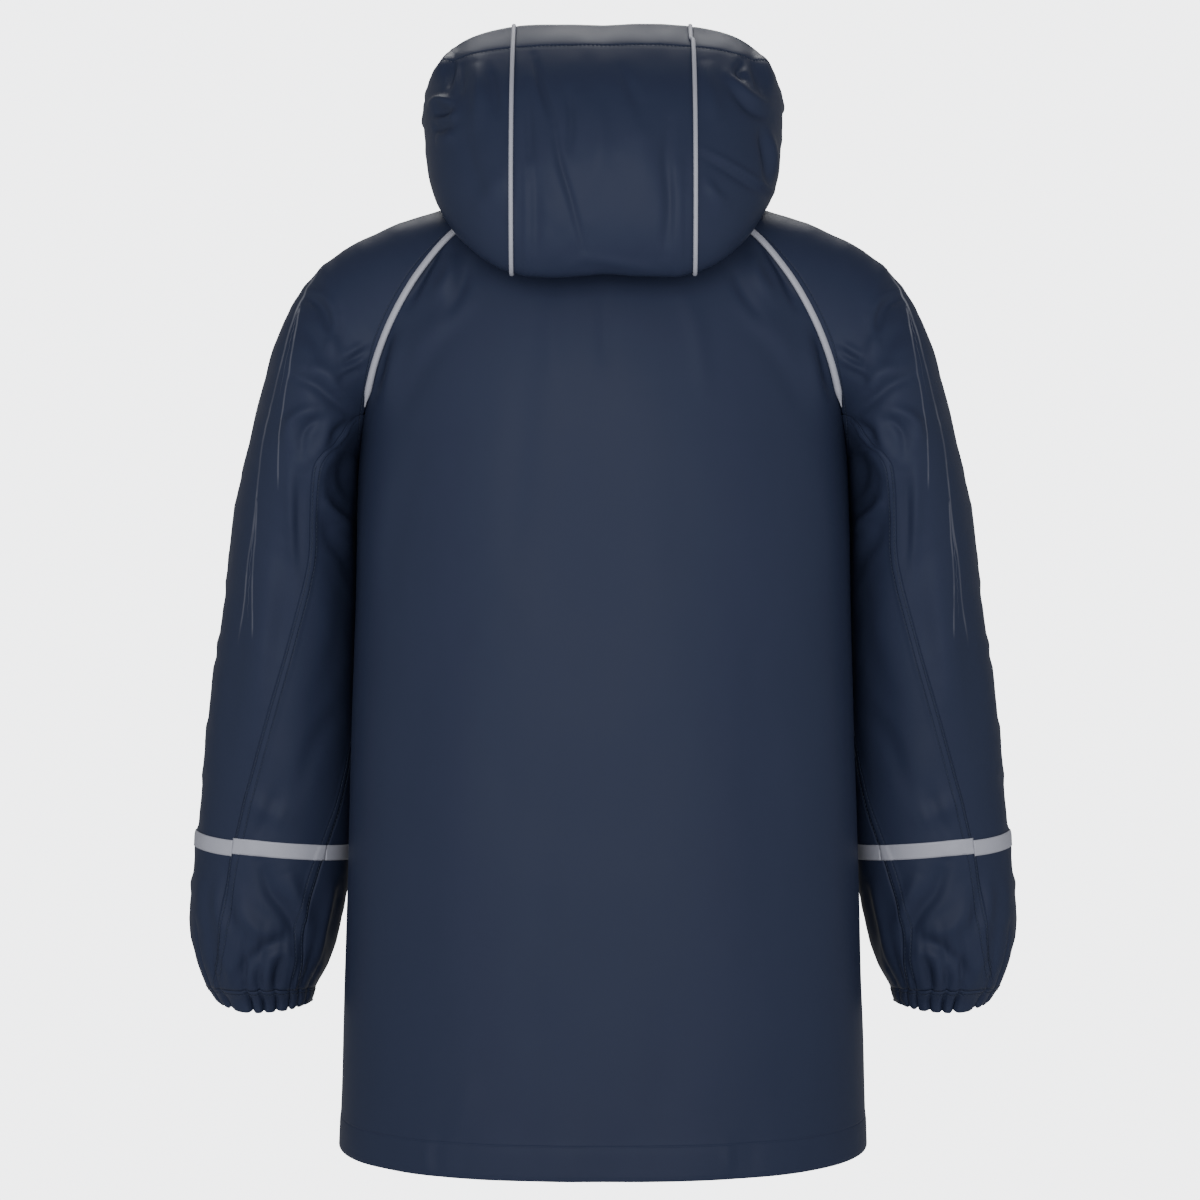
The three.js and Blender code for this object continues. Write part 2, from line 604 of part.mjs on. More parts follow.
// Zip: a tape inside each front, a slider over the two and a pull tab that swings on its pin
function addZip() {
  const depth = cloth.wall + zip.gap;
  const stops = [0, 0.05, 0.1, 0.15, 0.2, 0.3, 0.4, 0.55, 0.7, 0.85, 1, 1.25, 1.5, 1.75, 2];
  const inside = (x, t) => {
    const s = frontShare(x, t);
    const range = { s0: -1, s1: 1, t0: 0, t1: 2 };
    const normal = normalAt((a, v) => trunkPoint("front", a, v), s, t, range);
    return trunkPoint("front", s, t).addScaledVector(normal, -depth);
  };
  for (const [name, mirror] of [["zip_tape_left", false], ["zip_tape_right", true]]) {
    const options = { wall: zip.tapeWall, gap: 0, mirror };
    const low = () => zip.toothGap / 2;
    const high = () => zip.toothGap / 2 + zip.tapeWidth;
    addPiece(name, clothWall(inside, low, high, stops, 3, options), "zipTape");
  }

  const seat = inside(0, slider.at);
  const down = inside(0, slider.at + 0.02).sub(seat).normalize();
  const out = down.clone().cross(vector(1, 0, 0)).normalize();
  const placed = new THREE.Matrix4().makeBasis(vector(-1, 0, 0), down, out);
  placed.setPosition(seat.addScaledVector(out, zip.gap));
  const block = (width, length, height, x, y, z) =>
    solidOf(new THREE.BoxGeometry(width, length, height).translate(x, y, z));
  const rod = (radius, length, z) =>
    solidOf(new THREE.CylinderGeometry(radius, radius, length, 20).rotateZ(Math.PI / 2).translate(0, 0, z));
  const pinAt = slider.wall + cheek.height - cheek.pinBelowTop;
  const halfInner = pull.width / 2 + pull.play;
  const cheekX = halfInner + cheek.wall / 2;
  const cheekZ = slider.wall - cheek.sunk + cheek.height / 2;
  const body = block(slider.width, slider.length, slider.wall, 0, 0, slider.wall / 2)
    .add(block(cheek.wall, cheek.length, cheek.height, -cheekX, 0, cheekZ))
    .add(block(cheek.wall, cheek.length, cheek.height, cheekX, 0, cheekZ))
    .add(rod(pull.pin, 2 * halfInner + 1, pinAt));
  addPiece("zip_slider", fromManifold(body, placed), "zipMetal");

  const eyeHole = new THREE.CylinderGeometry(pullEye.radius, pullEye.radius, pull.wall + 2, 16)
    .rotateX(Math.PI / 2)
    .translate(0, pull.length - pullEye.fromEnd, 0);
  const tab = block(pull.width, pull.length - pull.start, pull.wall, 0, (pull.length + pull.start) / 2, 0)
    .add(rod(pull.knuckle, pull.width, 0))
    .subtract(rod(pull.pin + pull.play, pull.width + 2, 0))
    .subtract(solidOf(eyeHole));
  const hang = new THREE.Matrix4().makeRotationX(radians(pull.tilt));
  const onPin = placed.clone().multiply(new THREE.Matrix4().makeTranslation(0, 0, pinAt)).multiply(hang);
  addPiece("zip_pull", fromManifold(tab, onPin), "zipMetal");
}

addTrunk();
addZip();
addSleeve("sleeve_left", false);
addSleeve("sleeve_right", true);
addCuff("cuff_left", false);
addCuff("cuff_right", true);
addHood();
addAllPiping();
addBands("band_left", false);
addBands("band_right", true);

export default coat;
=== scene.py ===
# A child's navy raincoat in coated cloth, seen from the back, filled out as if worn.
# Lengths are in millimetres up to the point where a mesh is made, and in metres from there.

import math

import bpy
import numpy as np
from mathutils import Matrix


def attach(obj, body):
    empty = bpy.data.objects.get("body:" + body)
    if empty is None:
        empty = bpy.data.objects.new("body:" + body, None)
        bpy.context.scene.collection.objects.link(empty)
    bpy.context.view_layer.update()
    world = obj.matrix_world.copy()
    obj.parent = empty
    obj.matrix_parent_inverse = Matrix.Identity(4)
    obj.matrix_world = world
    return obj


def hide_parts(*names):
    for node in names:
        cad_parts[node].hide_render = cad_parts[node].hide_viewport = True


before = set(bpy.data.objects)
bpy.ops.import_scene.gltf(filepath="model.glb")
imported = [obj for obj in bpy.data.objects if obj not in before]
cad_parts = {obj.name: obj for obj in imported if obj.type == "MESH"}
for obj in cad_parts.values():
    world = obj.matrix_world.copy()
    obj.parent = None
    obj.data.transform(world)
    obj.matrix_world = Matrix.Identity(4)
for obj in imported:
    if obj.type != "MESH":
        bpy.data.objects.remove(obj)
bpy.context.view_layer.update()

eye = {"x": 1.9, "y": 2200.0, "z": -234.0, "lens": 106.5}  # where the coat is seen from


def smooth(low, high, value):
    share = np.clip((value - low) / (high - low), 0, 1)
    return share * share * (3 - 2 * share)


def unit(v):
    return v / np.maximum(np.linalg.norm(v, axis=-1, keepdims=True), 1e-9)


class Table:
    # Rows of numbers with named columns, and the smooth curve through each column

    def __init__(self, names, rows):
        self.rows = {name: np.array([row[i] for row in rows], float) for i, name in enumerate(names.split())}

    def __call__(self, name, at):
        x, y = self.rows["at"], self.rows[name]
        at = np.asarray(at, float)
        before, after = np.maximum(np.arange(len(x)) - 1, 0), np.minimum(np.arange(len(x)) + 1, len(x) - 1)
        slope = (y[after] - y[before]) / (x[after] - x[before])
        i = np.clip(np.searchsorted(x, at, side="right") - 1, 0, len(x) - 2)
        span = x[i + 1] - x[i]
        q = np.clip((at - x[i]) / span, 0, 1)
        return ((2 * q**3 - 3 * q**2 + 1) * y[i] + (q**3 - 2 * q**2 + q) * span * slope[i]
                + (3 * q**2 - 2 * q**3) * y[i + 1] + (q**3 - q**2) * span * slope[i + 1])

    def points(self, names, at):
        return np.stack([self(name, at) for name in names.split()], axis=-1)


# Stations of the coat: 0 at the neck, 1 at the armpit, 2 at the hem or the sleeve's end
raglan = Table("at backX backY backZ frontX frontY frontZ", [
    (0.0, 62, 40, 5, 56, -30, -4),
    (0.15, 88.3, 50, -10, 80, -44, -21),
    (0.32, 109.4, 56, -34, 100, -54, -45),
    (0.48, 124.8, 55, -59, 115.5, -57, -69),
    (0.64, 136.2, 49, -85, 129.2, -54, -93),
    (0.8, 144, 36, -112, 139.6, -43, -117),
    (0.92, 149, 16, -136, 147.2, -22, -138),
    (1.0, 151, -4, -148, 151, -4, -148),
])
trunk = Table("at backY backZ frontY frontZ turn power sideX sideY sideZ", [
    (0.0, 58, -4, -66, -43, 50, 2.0, 62, 0, 5),
    (0.15, 68, -19, -70, -54, 48, 2.0, 88, 0, -10),
    (0.32, 79, -40, -75, -68, 50, 2.0, 109, 0, -34),
    (0.48, 86, -63, -80, -83, 56, 2.05, 124, 0, -59),
    (0.64, 90.5, -87, -84.5, -101, 64, 2.15, 134, 0, -85),
    (0.8, 93, -113, -88, -121, 74, 2.3, 142, 0, -112),
    (0.92, 94, -136, -90.5, -139, 84, 2.4, 148, -2, -136),
    (1.0, 94.5, -149, -92, -149, 90, 2.5, 151, -4, -148),
    (1.25, 97, -255, -96, -255, 90, 2.5, 153.6, -2, -255),
    (1.5, 99, -362, -98, -362, 90, 2.5, 156.6, 0, -362),
    (1.75, 101, -468, -99, -468, 90, 2.5, 159.6, 0, -468),
    (2.0, 103, -577.5, -100, -575, 90, 2.5, 162.3, 0, -567),
])
sleeve = Table("at outX outY outZ inX inY inZ turn half", [
    (0.0, 67, 4, 9, 151, -4, -148, 50, 63),
    (0.15, 97, 3, 6, 151, -4, -148, 58, 63),
    (0.32, 133, 0, -5, 151, -4, -148, 70, 63),
    (0.48, 163, -3, -20, 151, -4, -148, 84, 63),
    (0.64, 189, -5, -46, 151, -4, -148, 104, 63),
    (0.8, 205, -8, -82, 151, -4, -148, 140, 63),
    (0.92, 214, -11, -112, 151, -4, -148, 160, 63),
    (1.0, 219, -13, -132, 151, -4, -148, 180, 63),
    (1.12, 228.5, -17, -172, 153.6, -14, -186, 180, 61.5),
    (1.3, 237, -21, -234, 154, -22, -244, 180, 58),
    (1.47, 245.5, -26, -290, 154.8, -28, -300, 180, 55),
    (1.64, 251.5, -30, -345, 155.6, -33, -355, 180, 52),
    (1.8, 257, -33, -398, 159, -37, -406, 180, 49),
    (1.9, 260, -35, -432, 165, -38, -436, 180, 46.5),
    (1.96, 256.5, -36, -455, 170, -39, -458, 180, 42),
    (2.0, 250, -37, -472, 177, -39, -473, 180, 35.5),
])
sleeveSeams = Table("at backSeam innerSeam", [
    (0.84, 147.3, 180),
    (0.88, 138, 180),
    (0.93, 131.5, 180),
    (0.97, 126, 180),
    (1.0, 117, 180),
    (1.04, 108.5, 180),
    (1.12, 110.5, 180),
    (1.2, 111, 180),
    (1.3, 102, 180),
    (1.47, 86.5, 174),
    (1.64, 71.5, 152),
    (1.72, 66, 139.5),
    (1.8, 61, 129.5),
    (1.9, 59, 126),
    (1.96, 51.5, 131),
    (2.0, 38, 136),
])
cuffRings = Table("at outX outY outZ inX inY inZ half", [
    (0.0, 250, -37, -472, 177, -39, -473, 35.5),
    (0.35, 246.5, -37.5, -479, 178.5, -39.5, -479.5, 31.5),
    (0.7, 244.5, -38, -485.5, 180, -40, -485.5, 29.5),
    (1.0, 242.5, -38, -491.5, 182, -40, -491.5, 28.5),
])
hood = Table("at faceX faceY faceZ backY backZ half lift power", [
    (0.0, 12, -66, -42, 58, -3, 67, 33, 2.0),
    (0.12, 34, -70, -30, 84, -24, 82, 46, 2.6),
    (0.24, 56, -68, -14, 104, -42, 95, 45, 3.0),
    (0.36, 75, -60, 5, 117, -30, 101, 35, 3.0),
    (0.49, 90, -50, 27, 124, 0, 106.5, 22, 2.8),
    (0.62, 100, -40, 48, 122, 34, 109.5, 13, 2.5),
    (0.75, 105, -32, 68, 108, 68, 111, 5, 2.35),
    (0.88, 102, -26, 84, 83, 95, 107, -2, 2.25),
    (1.0, 92, -20, 99, 52, 114, 96.5, -8, 2.25),
])
hoodSeamX = 54
# Rows of stitches, and the lengths that place them on the trunk and the hood
sewing = {"trunk": 428, "hem": 19.8, "hoodLength": 170, "hoodWidth": 240, "casing": 17.6, "raglan": 5.6,
          "felled": 3.75, "cuff": 0.16}
neckGap = 0.6
zipHalfOpening = 5.4


def rise(angle, power):
    flat = np.maximum(0, 1 - np.abs(np.sin(angle)) ** power) ** (1 / power)
    return np.where(np.cos(angle) < 0, -flat, flat)


def bow(start, end, crown, turn, half, power, angle):
    # A bowed section that runs from start to end past crown, turning through 2 * turn
    middle = (start + end) / 2
    across = end - start
    across = np.where(np.linalg.norm(across, axis=-1, keepdims=True) < 1e-6, (0, 1, 0), across)
    share = (rise(angle, power) - rise(turn, power)) / (1 - rise(turn, power))
    return middle + (crown - middle) * share[..., None] + unit(across) * (half * np.sin(angle))[..., None]


def mirrored(points):
    return points * np.array([-1, 1, 1])


def trunkPoint(side, s, t):
    edge = np.where((t <= 1)[..., None], raglan.points(f"{side}X {side}Y {side}Z", t),
                    trunk.points("sideX sideY sideZ", t))
    crown = np.stack([np.zeros_like(t), trunk(side + "Y", t), trunk(side + "Z", t)], axis=-1)
    turn = np.radians(np.minimum(90, trunk("turn", t)))
    return bow(mirrored(edge), edge, crown, turn, edge[..., 0] / np.sin(turn), trunk("power", t), s * turn)


def softTrunkPoint(side, s, t):
    # The trunk with the turn at the level of the armpits eased, away from the side seams
    window = 0.06 * np.exp(-(((t - 1) / 0.12) ** 2))
    eased = sum(trunkPoint(side, s, t + window * k) for k in (-1, -0.5, 0, 0.5, 1)) / 5
    share = smooth(1, 0.8, np.abs(s))[..., None]
    return trunkPoint(side, s, t) * (1 - share) + eased * share


def sleeveSection(t):
    low = (t < 1)[..., None]
    back = np.where(low, raglan.points("backX backY backZ", t), sleeve.points("inX inY inZ", t))
    front = np.where(low, raglan.points("frontX frontY frontZ", t), back)
    reach = np.linalg.norm(back - front, axis=-1) / 2
    half = sleeve("half", t)
    wrapped = np.pi - np.arcsin(np.minimum(1, reach / half))
    share = smooth(0.6, 0.85, t)
    turn = (1 - share) * np.radians(sleeve("turn", t)) + share * wrapped
    half = np.where(share < 1, reach / np.maximum(np.sin(turn), 1e-9), half)
    return back, front, turn, half


def sleevePoint(angle, t):
    back, front, turn, half = sleeveSection(t)
    point = bow(front, back, sleeve.points("outX outY outZ", t), turn, half, 2.0, angle)
    # The lean of the raglan sections is taken out towards the armpit, away from the seams
    lean = np.where((t < 1)[..., None], unit(back - front + 1e-9), (0, 1, 0)) - np.array([0, 1, 0])
    eased = smooth(0.75, 1, t) * smooth(0, 0.5, turn - np.abs(angle))
    point = point - lean * (eased * half * np.sin(angle))[..., None]
    drop = smooth(1.9, 2, t)  # the fullness that hangs over the elastic
    point[..., 2] -= 4.2 * drop
    point[..., 0] += drop * (2.0 - 2.0 * np.cos(angle))
    return point


def backSeamAngle(t):
    turn = sleeveSection(t)[2]
    return np.where(t < 0.84, turn, np.minimum(turn, np.radians(sleeveSeams("backSeam", t))))


def innerSeamAngle(t):
    return np.where(t < 1, sleeveSection(t)[2], np.radians(sleeveSeams("innerSeam", t)))


def frontSeamAngle(t):
    return np.where(t < 1, -sleeveSection(t)[2], innerSeamAngle(t) - 2 * np.pi)


def neckLine():
    share = np.linspace(0, 1, 120)
    top = np.zeros(120)
    turn = sleeveSection(np.array([0.0]))[2][0]
    line = np.concatenate([
        trunkPoint("back", share, top),
        sleevePoint(turn * (1 - 2 * share[1:]), top[1:]),
        trunkPoint("front", 1 - share[1:], top[1:]),
    ])
    line = line[(np.arange(len(line)) < 239) | (line[:, 0] > 12)]
    along = np.concatenate([[0], np.cumsum(np.linalg.norm(np.diff(line, axis=0), axis=-1))])
    return line, along / along[-1]


neckPoints, neckShares = neckLine()


def hoodForm(s, t):
    face = hood.points("faceX faceY faceZ", t)
    half = hood("half", t)
    turn = np.pi - np.arcsin(np.minimum(1, face[..., 0] / half))
    crown = np.stack([np.zeros_like(t), hood("backY", t), hood("backZ", t)], axis=-1)
    angle = s * turn
    point = bow(mirrored(face), face, crown, turn, half, hood("power", t), angle)
    reach = np.abs(np.sin(angle)) ** np.where(np.abs(angle) < np.pi / 2, 4, 2)
    point[..., 2] += hood("lift", t) * (reach - np.sin(turn) ** 2 * np.abs(s))
    return point


def hoodSeam(t):
    half = hood("half", t)
    return np.arcsin(hoodSeamX / half) / (np.pi - np.arcsin(np.minimum(1, hood("faceX", t) / half)))


def hoodPoint(s, t):
    point = hoodForm(s, t)
    nearNeck = 1 - smooth(0, 0.22, t)
    share = np.minimum(1, np.abs(s))
    onNeck = np.stack([np.interp(share, neckShares, neckPoints[:, k]) for k in range(3)], axis=-1)
    onNeck[..., 0] *= np.where(s < 0, -1, 1)
    onNeck[..., 2] += neckGap
    return point + (onNeck - hoodForm(s, np.zeros_like(t))) * nearNeck[..., None]


def normalOf(surface, s, t, limits=None, step=0.003):
    # The outward normal of a surface, from its neighbours inside its limits
    low, high = limits or ((-9, -9), (9, 9))
    s0, s1 = np.maximum(low[0], s - step), np.minimum(high[0], s + step)
    t0, t1 = np.maximum(low[1], t - step), np.minimum(high[1], t + step)
    across = surface(s1, t) - surface(s0, t)
    return unit(np.cross(surface(s, t1) - surface(s, t0), across))


def seen(points, fromBack=True):
    # Where points appear from the back, in millimetres on the plane through the neck
    away = eye["y"] - points[..., 1] * (1 if fromBack else -1)
    share = eye["y"] / away
    return points[..., 0] * share, eye["z"] + (points[..., 2] - eye["z"]) * share


# Relief

def ripple(x, y, size, seed):
    # Smooth uneven ripples about size millimetres across, between -1 and 1
    grid = np.random.default_rng(seed).uniform(-1, 1, (64, 64))
    gx, gy = x / size + 500, y / size + 500
    i, j = np.floor(gx).astype(int), np.floor(gy).astype(int)
    u, v = smooth(0, 1, gx - i), smooth(0, 1, gy - j)
    at = lambda a, b: grid[(i + a) % 64, (j + b) % 64]
    return (at(0, 0) * (1 - u) + at(1, 0) * u) * (1 - v) + (at(0, 1) * (1 - u) + at(1, 1) * u) * v


def toLine(u, v, line):
    # Signed distance to a line through a few points, and the share of the way along it
    knots = np.array(line, float).reshape(-1, 2)
    if len(knots) > 2:
        at = np.arange(len(knots))
        curve = Table("at u v", [(i, *p) for i, p in enumerate(knots)])
        knots = curve.points("u v", np.linspace(0, at[-1], 6 * at[-1] + 1))
    best = np.full(u.shape, 1e9)
    side = np.zeros(u.shape)
    share = np.zeros(u.shape)
    lengths = np.linalg.norm(np.diff(knots, axis=0), axis=-1)
    start = np.concatenate([[0], np.cumsum(lengths)])
    for k in range(len(knots) - 1):
        du, dv = knots[k + 1] - knots[k]
        q = np.clip(((u - knots[k, 0]) * du + (v - knots[k, 1]) * dv) / lengths[k] ** 2, 0, 1)
        away = np.hypot(u - knots[k, 0] - q * du, v - knots[k, 1] - q * dv)
        nearer = away < best
        best = np.where(nearer, away, best)
        side = np.where(nearer, np.sign((u - knots[k, 0]) * dv - (v - knots[k, 1]) * du), side)
        share = np.where(nearer, (start[k] + q * lengths[k]) / start[-1], share)
    return best * np.where(side < 0, -1, 1), share


def creased(u, v, creases):
    # The height of creases: rise, width, lean, then the points of the line. A lean adds a trough beside it.
    total = np.zeros(u.shape)
    for height, width, lean, *line in creases:
        away, share = toLine(u, v, line)
        taper = np.sin(np.pi * np.clip(share, 0.03, 0.97)) ** 0.5
        total += height * taper * np.exp(-((away / width) ** 2))
        if lean:
            total -= 0.7 * height * taper * np.exp(-(((away - lean * 1.7 * width) / width) ** 2))
    return total


# Creases of a sleeve, seen from the back on the wearer's left: rise, width, lean, points of its line
sleeveCreases = [
    (-3.4, 3.8, 0, 192, -95, 178, -101, 162, -114, 154, -121),
    (2.4, 5, 0, 184, -90, 171, -94, 165, -106),
    (3, 4.4, 0, 196, -138, 194, -125, 186, -118, 175, -116),
    (1.8, 3.6, 0, 170, -124, 173, -136, 182, -149),
    (-2.2, 3, 0, 187, -144, 186, -131, 180, -124, 175, -123),
    (-2.6, 3.6, 0, 168, -135, 163, -129, 155, -123),
    (2.8, 5, 0, 174, -172, 176, -158, 171, -147, 163, -141),
    (-3.2, 5, 0, 157, -141, 160, -157, 157, -172),
    (2.6, 3.6, 0, 174, -171, 169, -178, 162, -184, 155, -193),
    (-2.4, 3.6, 0, 169, -169, 163, -175, 157, -181),
    (-1.8, 4, 0, 173, -184, 169, -197, 160, -209, 156, -222),
    (1.6, 4.5, 0, 166, -186, 160, -197, 155, -208),
    (1.8, 4, 0, 195, -150, 193, -184, 191, -215),
    (-1.8, 3.5, 0, 188, -156, 189, -190, 188, -214),
    (-1.8, 3.2, 1, 187, -45, 176, -51, 171, -60, 172, -70),
    (-1.6, 5, 0, 187, -64, 178, -75, 173, -88),
    (1.6, 5, 0, 180, -58, 169, -72, 166, -84),
    (1.6, 5, 0, 176, -22, 169, -38, 166, -56),
    (1.4, 2.6, 0, 161, -83, 154, -79, 147, -75),
    (-1.6, 2.2, 0, 162, -88, 154, -84, 147, -79),
    (1.4, 2.4, 0, 163, -93, 154, -88, 147, -84),
    (-1.2, 2.6, 0, 165, -99, 158, -94, 151, -92),
    (1.6, 8, 0, 211, -209, 211, -259, 214, -308),
    (-1.5, 7, 0, 198, -197, 198, -240, 208, -290),
    (-1.4, 7, 0, 225, -234, 230, -284, 234, -333),
    (1.4, 10, 0, 175, -219, 169, -252, 174, -296),
    (-1.6, 8, 0, 160, -219, 164, -259, 180, -308),
    (-1.5, 6, 0, 188, -352, 177, -321, 160, -296),
    (1.8, 5, 0, 219, -357, 211, -364, 196, -371),
    (-2, 4.6, 0, 202, -352, 207, -367, 215, -383),
    (-3.4, 4.4, 0, 212, -397, 206, -415, 196, -428, 191, -437, 188, -447),
    (-3.2, 4.2, 0, 198, -443, 210, -451, 219, -458, 227, -468),
    (2.8, 6, 0, 227, -418, 221, -432, 212, -440, 202, -440),
    (2.2, 4.5, 0, 212, -455, 198, -453, 190, -461),
    (2.4, 5, 0, 196, -402, 189, -420, 183, -436),
    (2, 3.4, 0, 239, -410, 239, -427, 236, -440),
    (-1.8, 3.6, 0, 233, -400, 232, -424, 229, -441),
    (2.2, 3.4, 0, 167, -412, 173, -440, 177, -463),
    (-2.2, 3.4, 0, 162, -408, 167, -434, 171, -456),
    (1.6, 4, 0, 249, -404, 250, -422, 246, -440),
    (-1.8, 3.2, 0, 244, -436, 240, -452, 234, -466),
    (1.8, 3.4, 0, 238, -452, 233, -462, 228, -472),
    (-2.2, 2.8, 0, 215, -459, 215, -466, 213, -474),
    (1.8, 3, 0, 207, -457, 208, -466, 208, -474),
    (-2, 2.8, 0, 201, -460, 202, -467, 202, -475),
]
# Creases of the back
backCreases = [
    (-3.4, 3.6, 0, 101, -13, 110, -28, 121, -51),
    (3.1, 5, 0, 94, -18, 95, -32, 104, -47),
    (-2.2, 4, 0, 84, -26, 89, -44, 97, -58),
    (1.7, 9, 0, 82, -40, 101, -64, 120, -87),
    (-2.7, 3.6, 0, 131, -67, 136, -80, 141, -105),
    (2, 5, 0, 125, -72, 130, -88, 136, -112),
    (-1.5, 7, 0, 89, -60, 110, -86, 126, -120),
    (-3.4, 3.6, 0, -100, -13, -110, -28, -120, -51),
    (3.1, 5, 0, -92, -18, -95, -32, -104, -47),
    (-2.1, 4, 0, -80, -28, -87, -44, -98, -60),
    (1.7, 9, 0, -82, -40, -100, -64, -120, -87),
    (-2.5, 3.6, 0, -131, -67, -136, -80, -141, -105),
    (1.8, 5, 0, -126, -74, -130, -90, -136, -112),
    (-1.4, 7, 0, -88, -60, -110, -86, -126, -120),
    (0.9, 7, 0, 31, -39, 32, -67, 29, -98),
    (-0.9, 5, 0, -2, -36, -1, -67, -2, -91),
    (0.9, 6, 0, -48, -39, -58, -67, -63, -104),
    (-0.8, 10, 0, 45, -67, 51, -129, 56, -209),
    (0.8, 20, 0, -23, -98, -29, -184, -26, -296),
    (-0.8, 13, 0, 27, -333, 39, -420, 42, -519),
    (0.8, 18, 0, 82, -265, 92, -358, 95, -457),
    (-0.9, 14, 0, -94, -246, -102, -358, -105, -470),
    (-0.7, 13, 0, -35, -482, -40, -519, -42, -556),
    (0.8, 10, 0, 132, -150, 140, -180, 141, -215),
    (-0.7, 8, 0, 118, -150, 128, -190, 132, -240),
    (0.8, 10, 0, -133, -150, -141, -182, -141, -218),
    (1.2, 3.2, 1, 107, -569, 109, -579, 108, -589),
    (0.9, 3.2, 1, -77, -571, -78, -580, -78, -589),
    (-0.8, 4.5, 0, -90, -569, -92, -579, -91, -587),
    (0.8, 5.5, 0, 82, -532, 87, -550, 94, -569),
]
# Creases of the hood
hoodCreases = [
    (-2.2, 2.4, 0, 43, 104, 38, 84, 31, 62),
    (-1.9, 2, 0, 31, 62, 27, 38, 20, 14, 12, -17),
    (0.7, 6, 0, 38, 60, 33, 36, 27, 12),
    (-1.8, 2.4, 0, 22, 83, 20, 64, 21, 46),
    (1.4, 7, 0, 8, 78, 2, 57, 4, 26),
    (-1.6, 3, 0, 47, 86, 46, 58, 45, 30),
    (1.6, 10, 0, -23, 76, -24, 51, -29, 20),
    (-1.5, 4, 0, -12, 95, -19, 79, -23, 64),
    (-2, 3.4, 0, -41, 62, -39, 38, -41, 11, -38, -20),
    (0.9, 3.4, 0, 20, -26, 7, -23, -30, -29),
    (-1.4, 4, 0, 43, 30, 42, 8, 42, -24),
    (1.4, 7, 0, 79, 3, 70, 18, 62, 30),
    (3, 2.6, 0, 94, 106, 99, 97, 106, 89),
    (-3.2, 2.4, 0, 93, 102, 95, 93, 97, 83),
    (-2, 3, 0, 88, 101, 88, 90, 89, 79),
    (3, 2.6, 0, 108, 71, 103, 76, 94, 75),
    (2.4, 3, 0, 91, 70, 95, 64, 105, 61),
    (-2.7, 2.6, 0, 106, 67, 100, 69, 94, 70),
    (-2.7, 3, 0, 107, 58, 100, 60, 93, 63),
    (2.2, 4, 0, 104, 52, 98, 52, 92, 56),
    (-1.8, 3.4, 0, 71, 95, 68, 82, 66, 68),
    (2.4, 4.5, 0, 78, 100, 77, 82, 79, 62),
    (-1.6, 5, 0, 86, 60, 82, 36, 72, 12),
    (-2.2, 3, 0, -79, 84, -92, 70, -103, 65),
    (2.2, 3.4, 0, -77, 92, -90, 79, -102, 73),
    (-2.7, 2.6, 0, -87, 100, -84, 93, -89, 88),
    (3, 2.8, 0, -103, 56, -105, 42, -106, 28),
    (-2.7, 2.6, 0, -98, 56, -101, 40, -102, 24),
    (3, 3, 0, -96, 104, -101, 95, -105, 84),
    (-2.4, 3, 0, -92, 101, -96, 90, -99, 80),
    (1.6, 2, 0, -60, 46, -84, 33, -108, 17),
    (-1.6, 2.4, 0, -62, 42, -84, 28, -104, 14),
    (1.9, 3, 0, -64, 26, -70, 17, -77, 12),
    (1.9, 6, 0, -63, 101, -65, 82, -70, 64),
]


def fromBothSides(points, normals, creases, frontShare=0.8):
    # Creases as seen from the back, and similar ones on the front
    u, v = seen(points)
    relief = creased(u, v, creases) * smooth(-0.12, 0.3, normals[..., 1])
    if frontShare:
        u, v = seen(points, False)
        v = v + 9 * np.sin(v / 60)
        relief += frontShare * creased(u, v, creases) * smooth(-0.12, 0.3, -normals[..., 1])
    return relief


def step(low, high, edge, value):
    # 1 between low and high, falling to 0 over edge millimetres outside them
    return smooth(low - edge, low, value) * (1 - smooth(high, high + edge, value))


def gathers(angle):
    # Uneven gathers round a cuff, round ridges with sharp troughs, deepest at the back
    depth = 0.5 + 1.0 * np.exp(-(((angle - 1.35) / 0.5) ** 2)) + 0.2 * np.sin(3 * angle + 1)
    phase = 10 * angle + 1.1 * np.sin(3 * angle) + 0.5 * np.sin(7 * angle + 2)
    return depth * (0.7 - 2.1 * (1 - np.abs(np.sin(phase))) ** 2)


def sleeveSeamAways(angle, t):
    # Millimetres from the two seams of a sleeve, positive on the under piece
    radius = sleeve("half", t)
    back = (angle - backSeamAngle(t)) * radius
    inner = np.where(t < 1, 99, (innerSeamAngle(t) - angle) * radius)
    return back, inner


def sleeveRelief(points, normals, angle, t):
    back, inner = sleeveSeamAways(angle, t)
    turn = sleeveSection(t)[2]
    radius = sleeve("half", t)
    relief = fromBothSides(points, normals, sleeveCreases)
    relief += 0.55 * step(0.4, 6.6, 0.6, back) * smooth(0.86, 0.93, t)
    relief += 0.5 * step(1.0, 6.6, 0.6, inner) * smooth(1.02, 1.1, t)
    relief += 1.2 * gathers(angle) * smooth(1.88, 1.99, t) * (1 - 0.35 * smooth(1.985, 2, t))
    across, along = 60 * np.sin(angle), 480 * t + 30 * np.cos(angle)
    relief += (0.5 * ripple(across, along, 34, 3) + 0.2 * ripple(across, along, 11, 4)) * smooth(2, 1.96, t)
    outer = np.exp(-((angle / 0.45) ** 2)) * smooth(0.9, 1.2, t)
    relief += 0.9 * outer * ripple(0.4 * across, along, 11, 5)
    edge = np.where(t < 1, (turn - np.abs(angle)) * radius, 99)
    return relief * smooth(0, 9, edge)


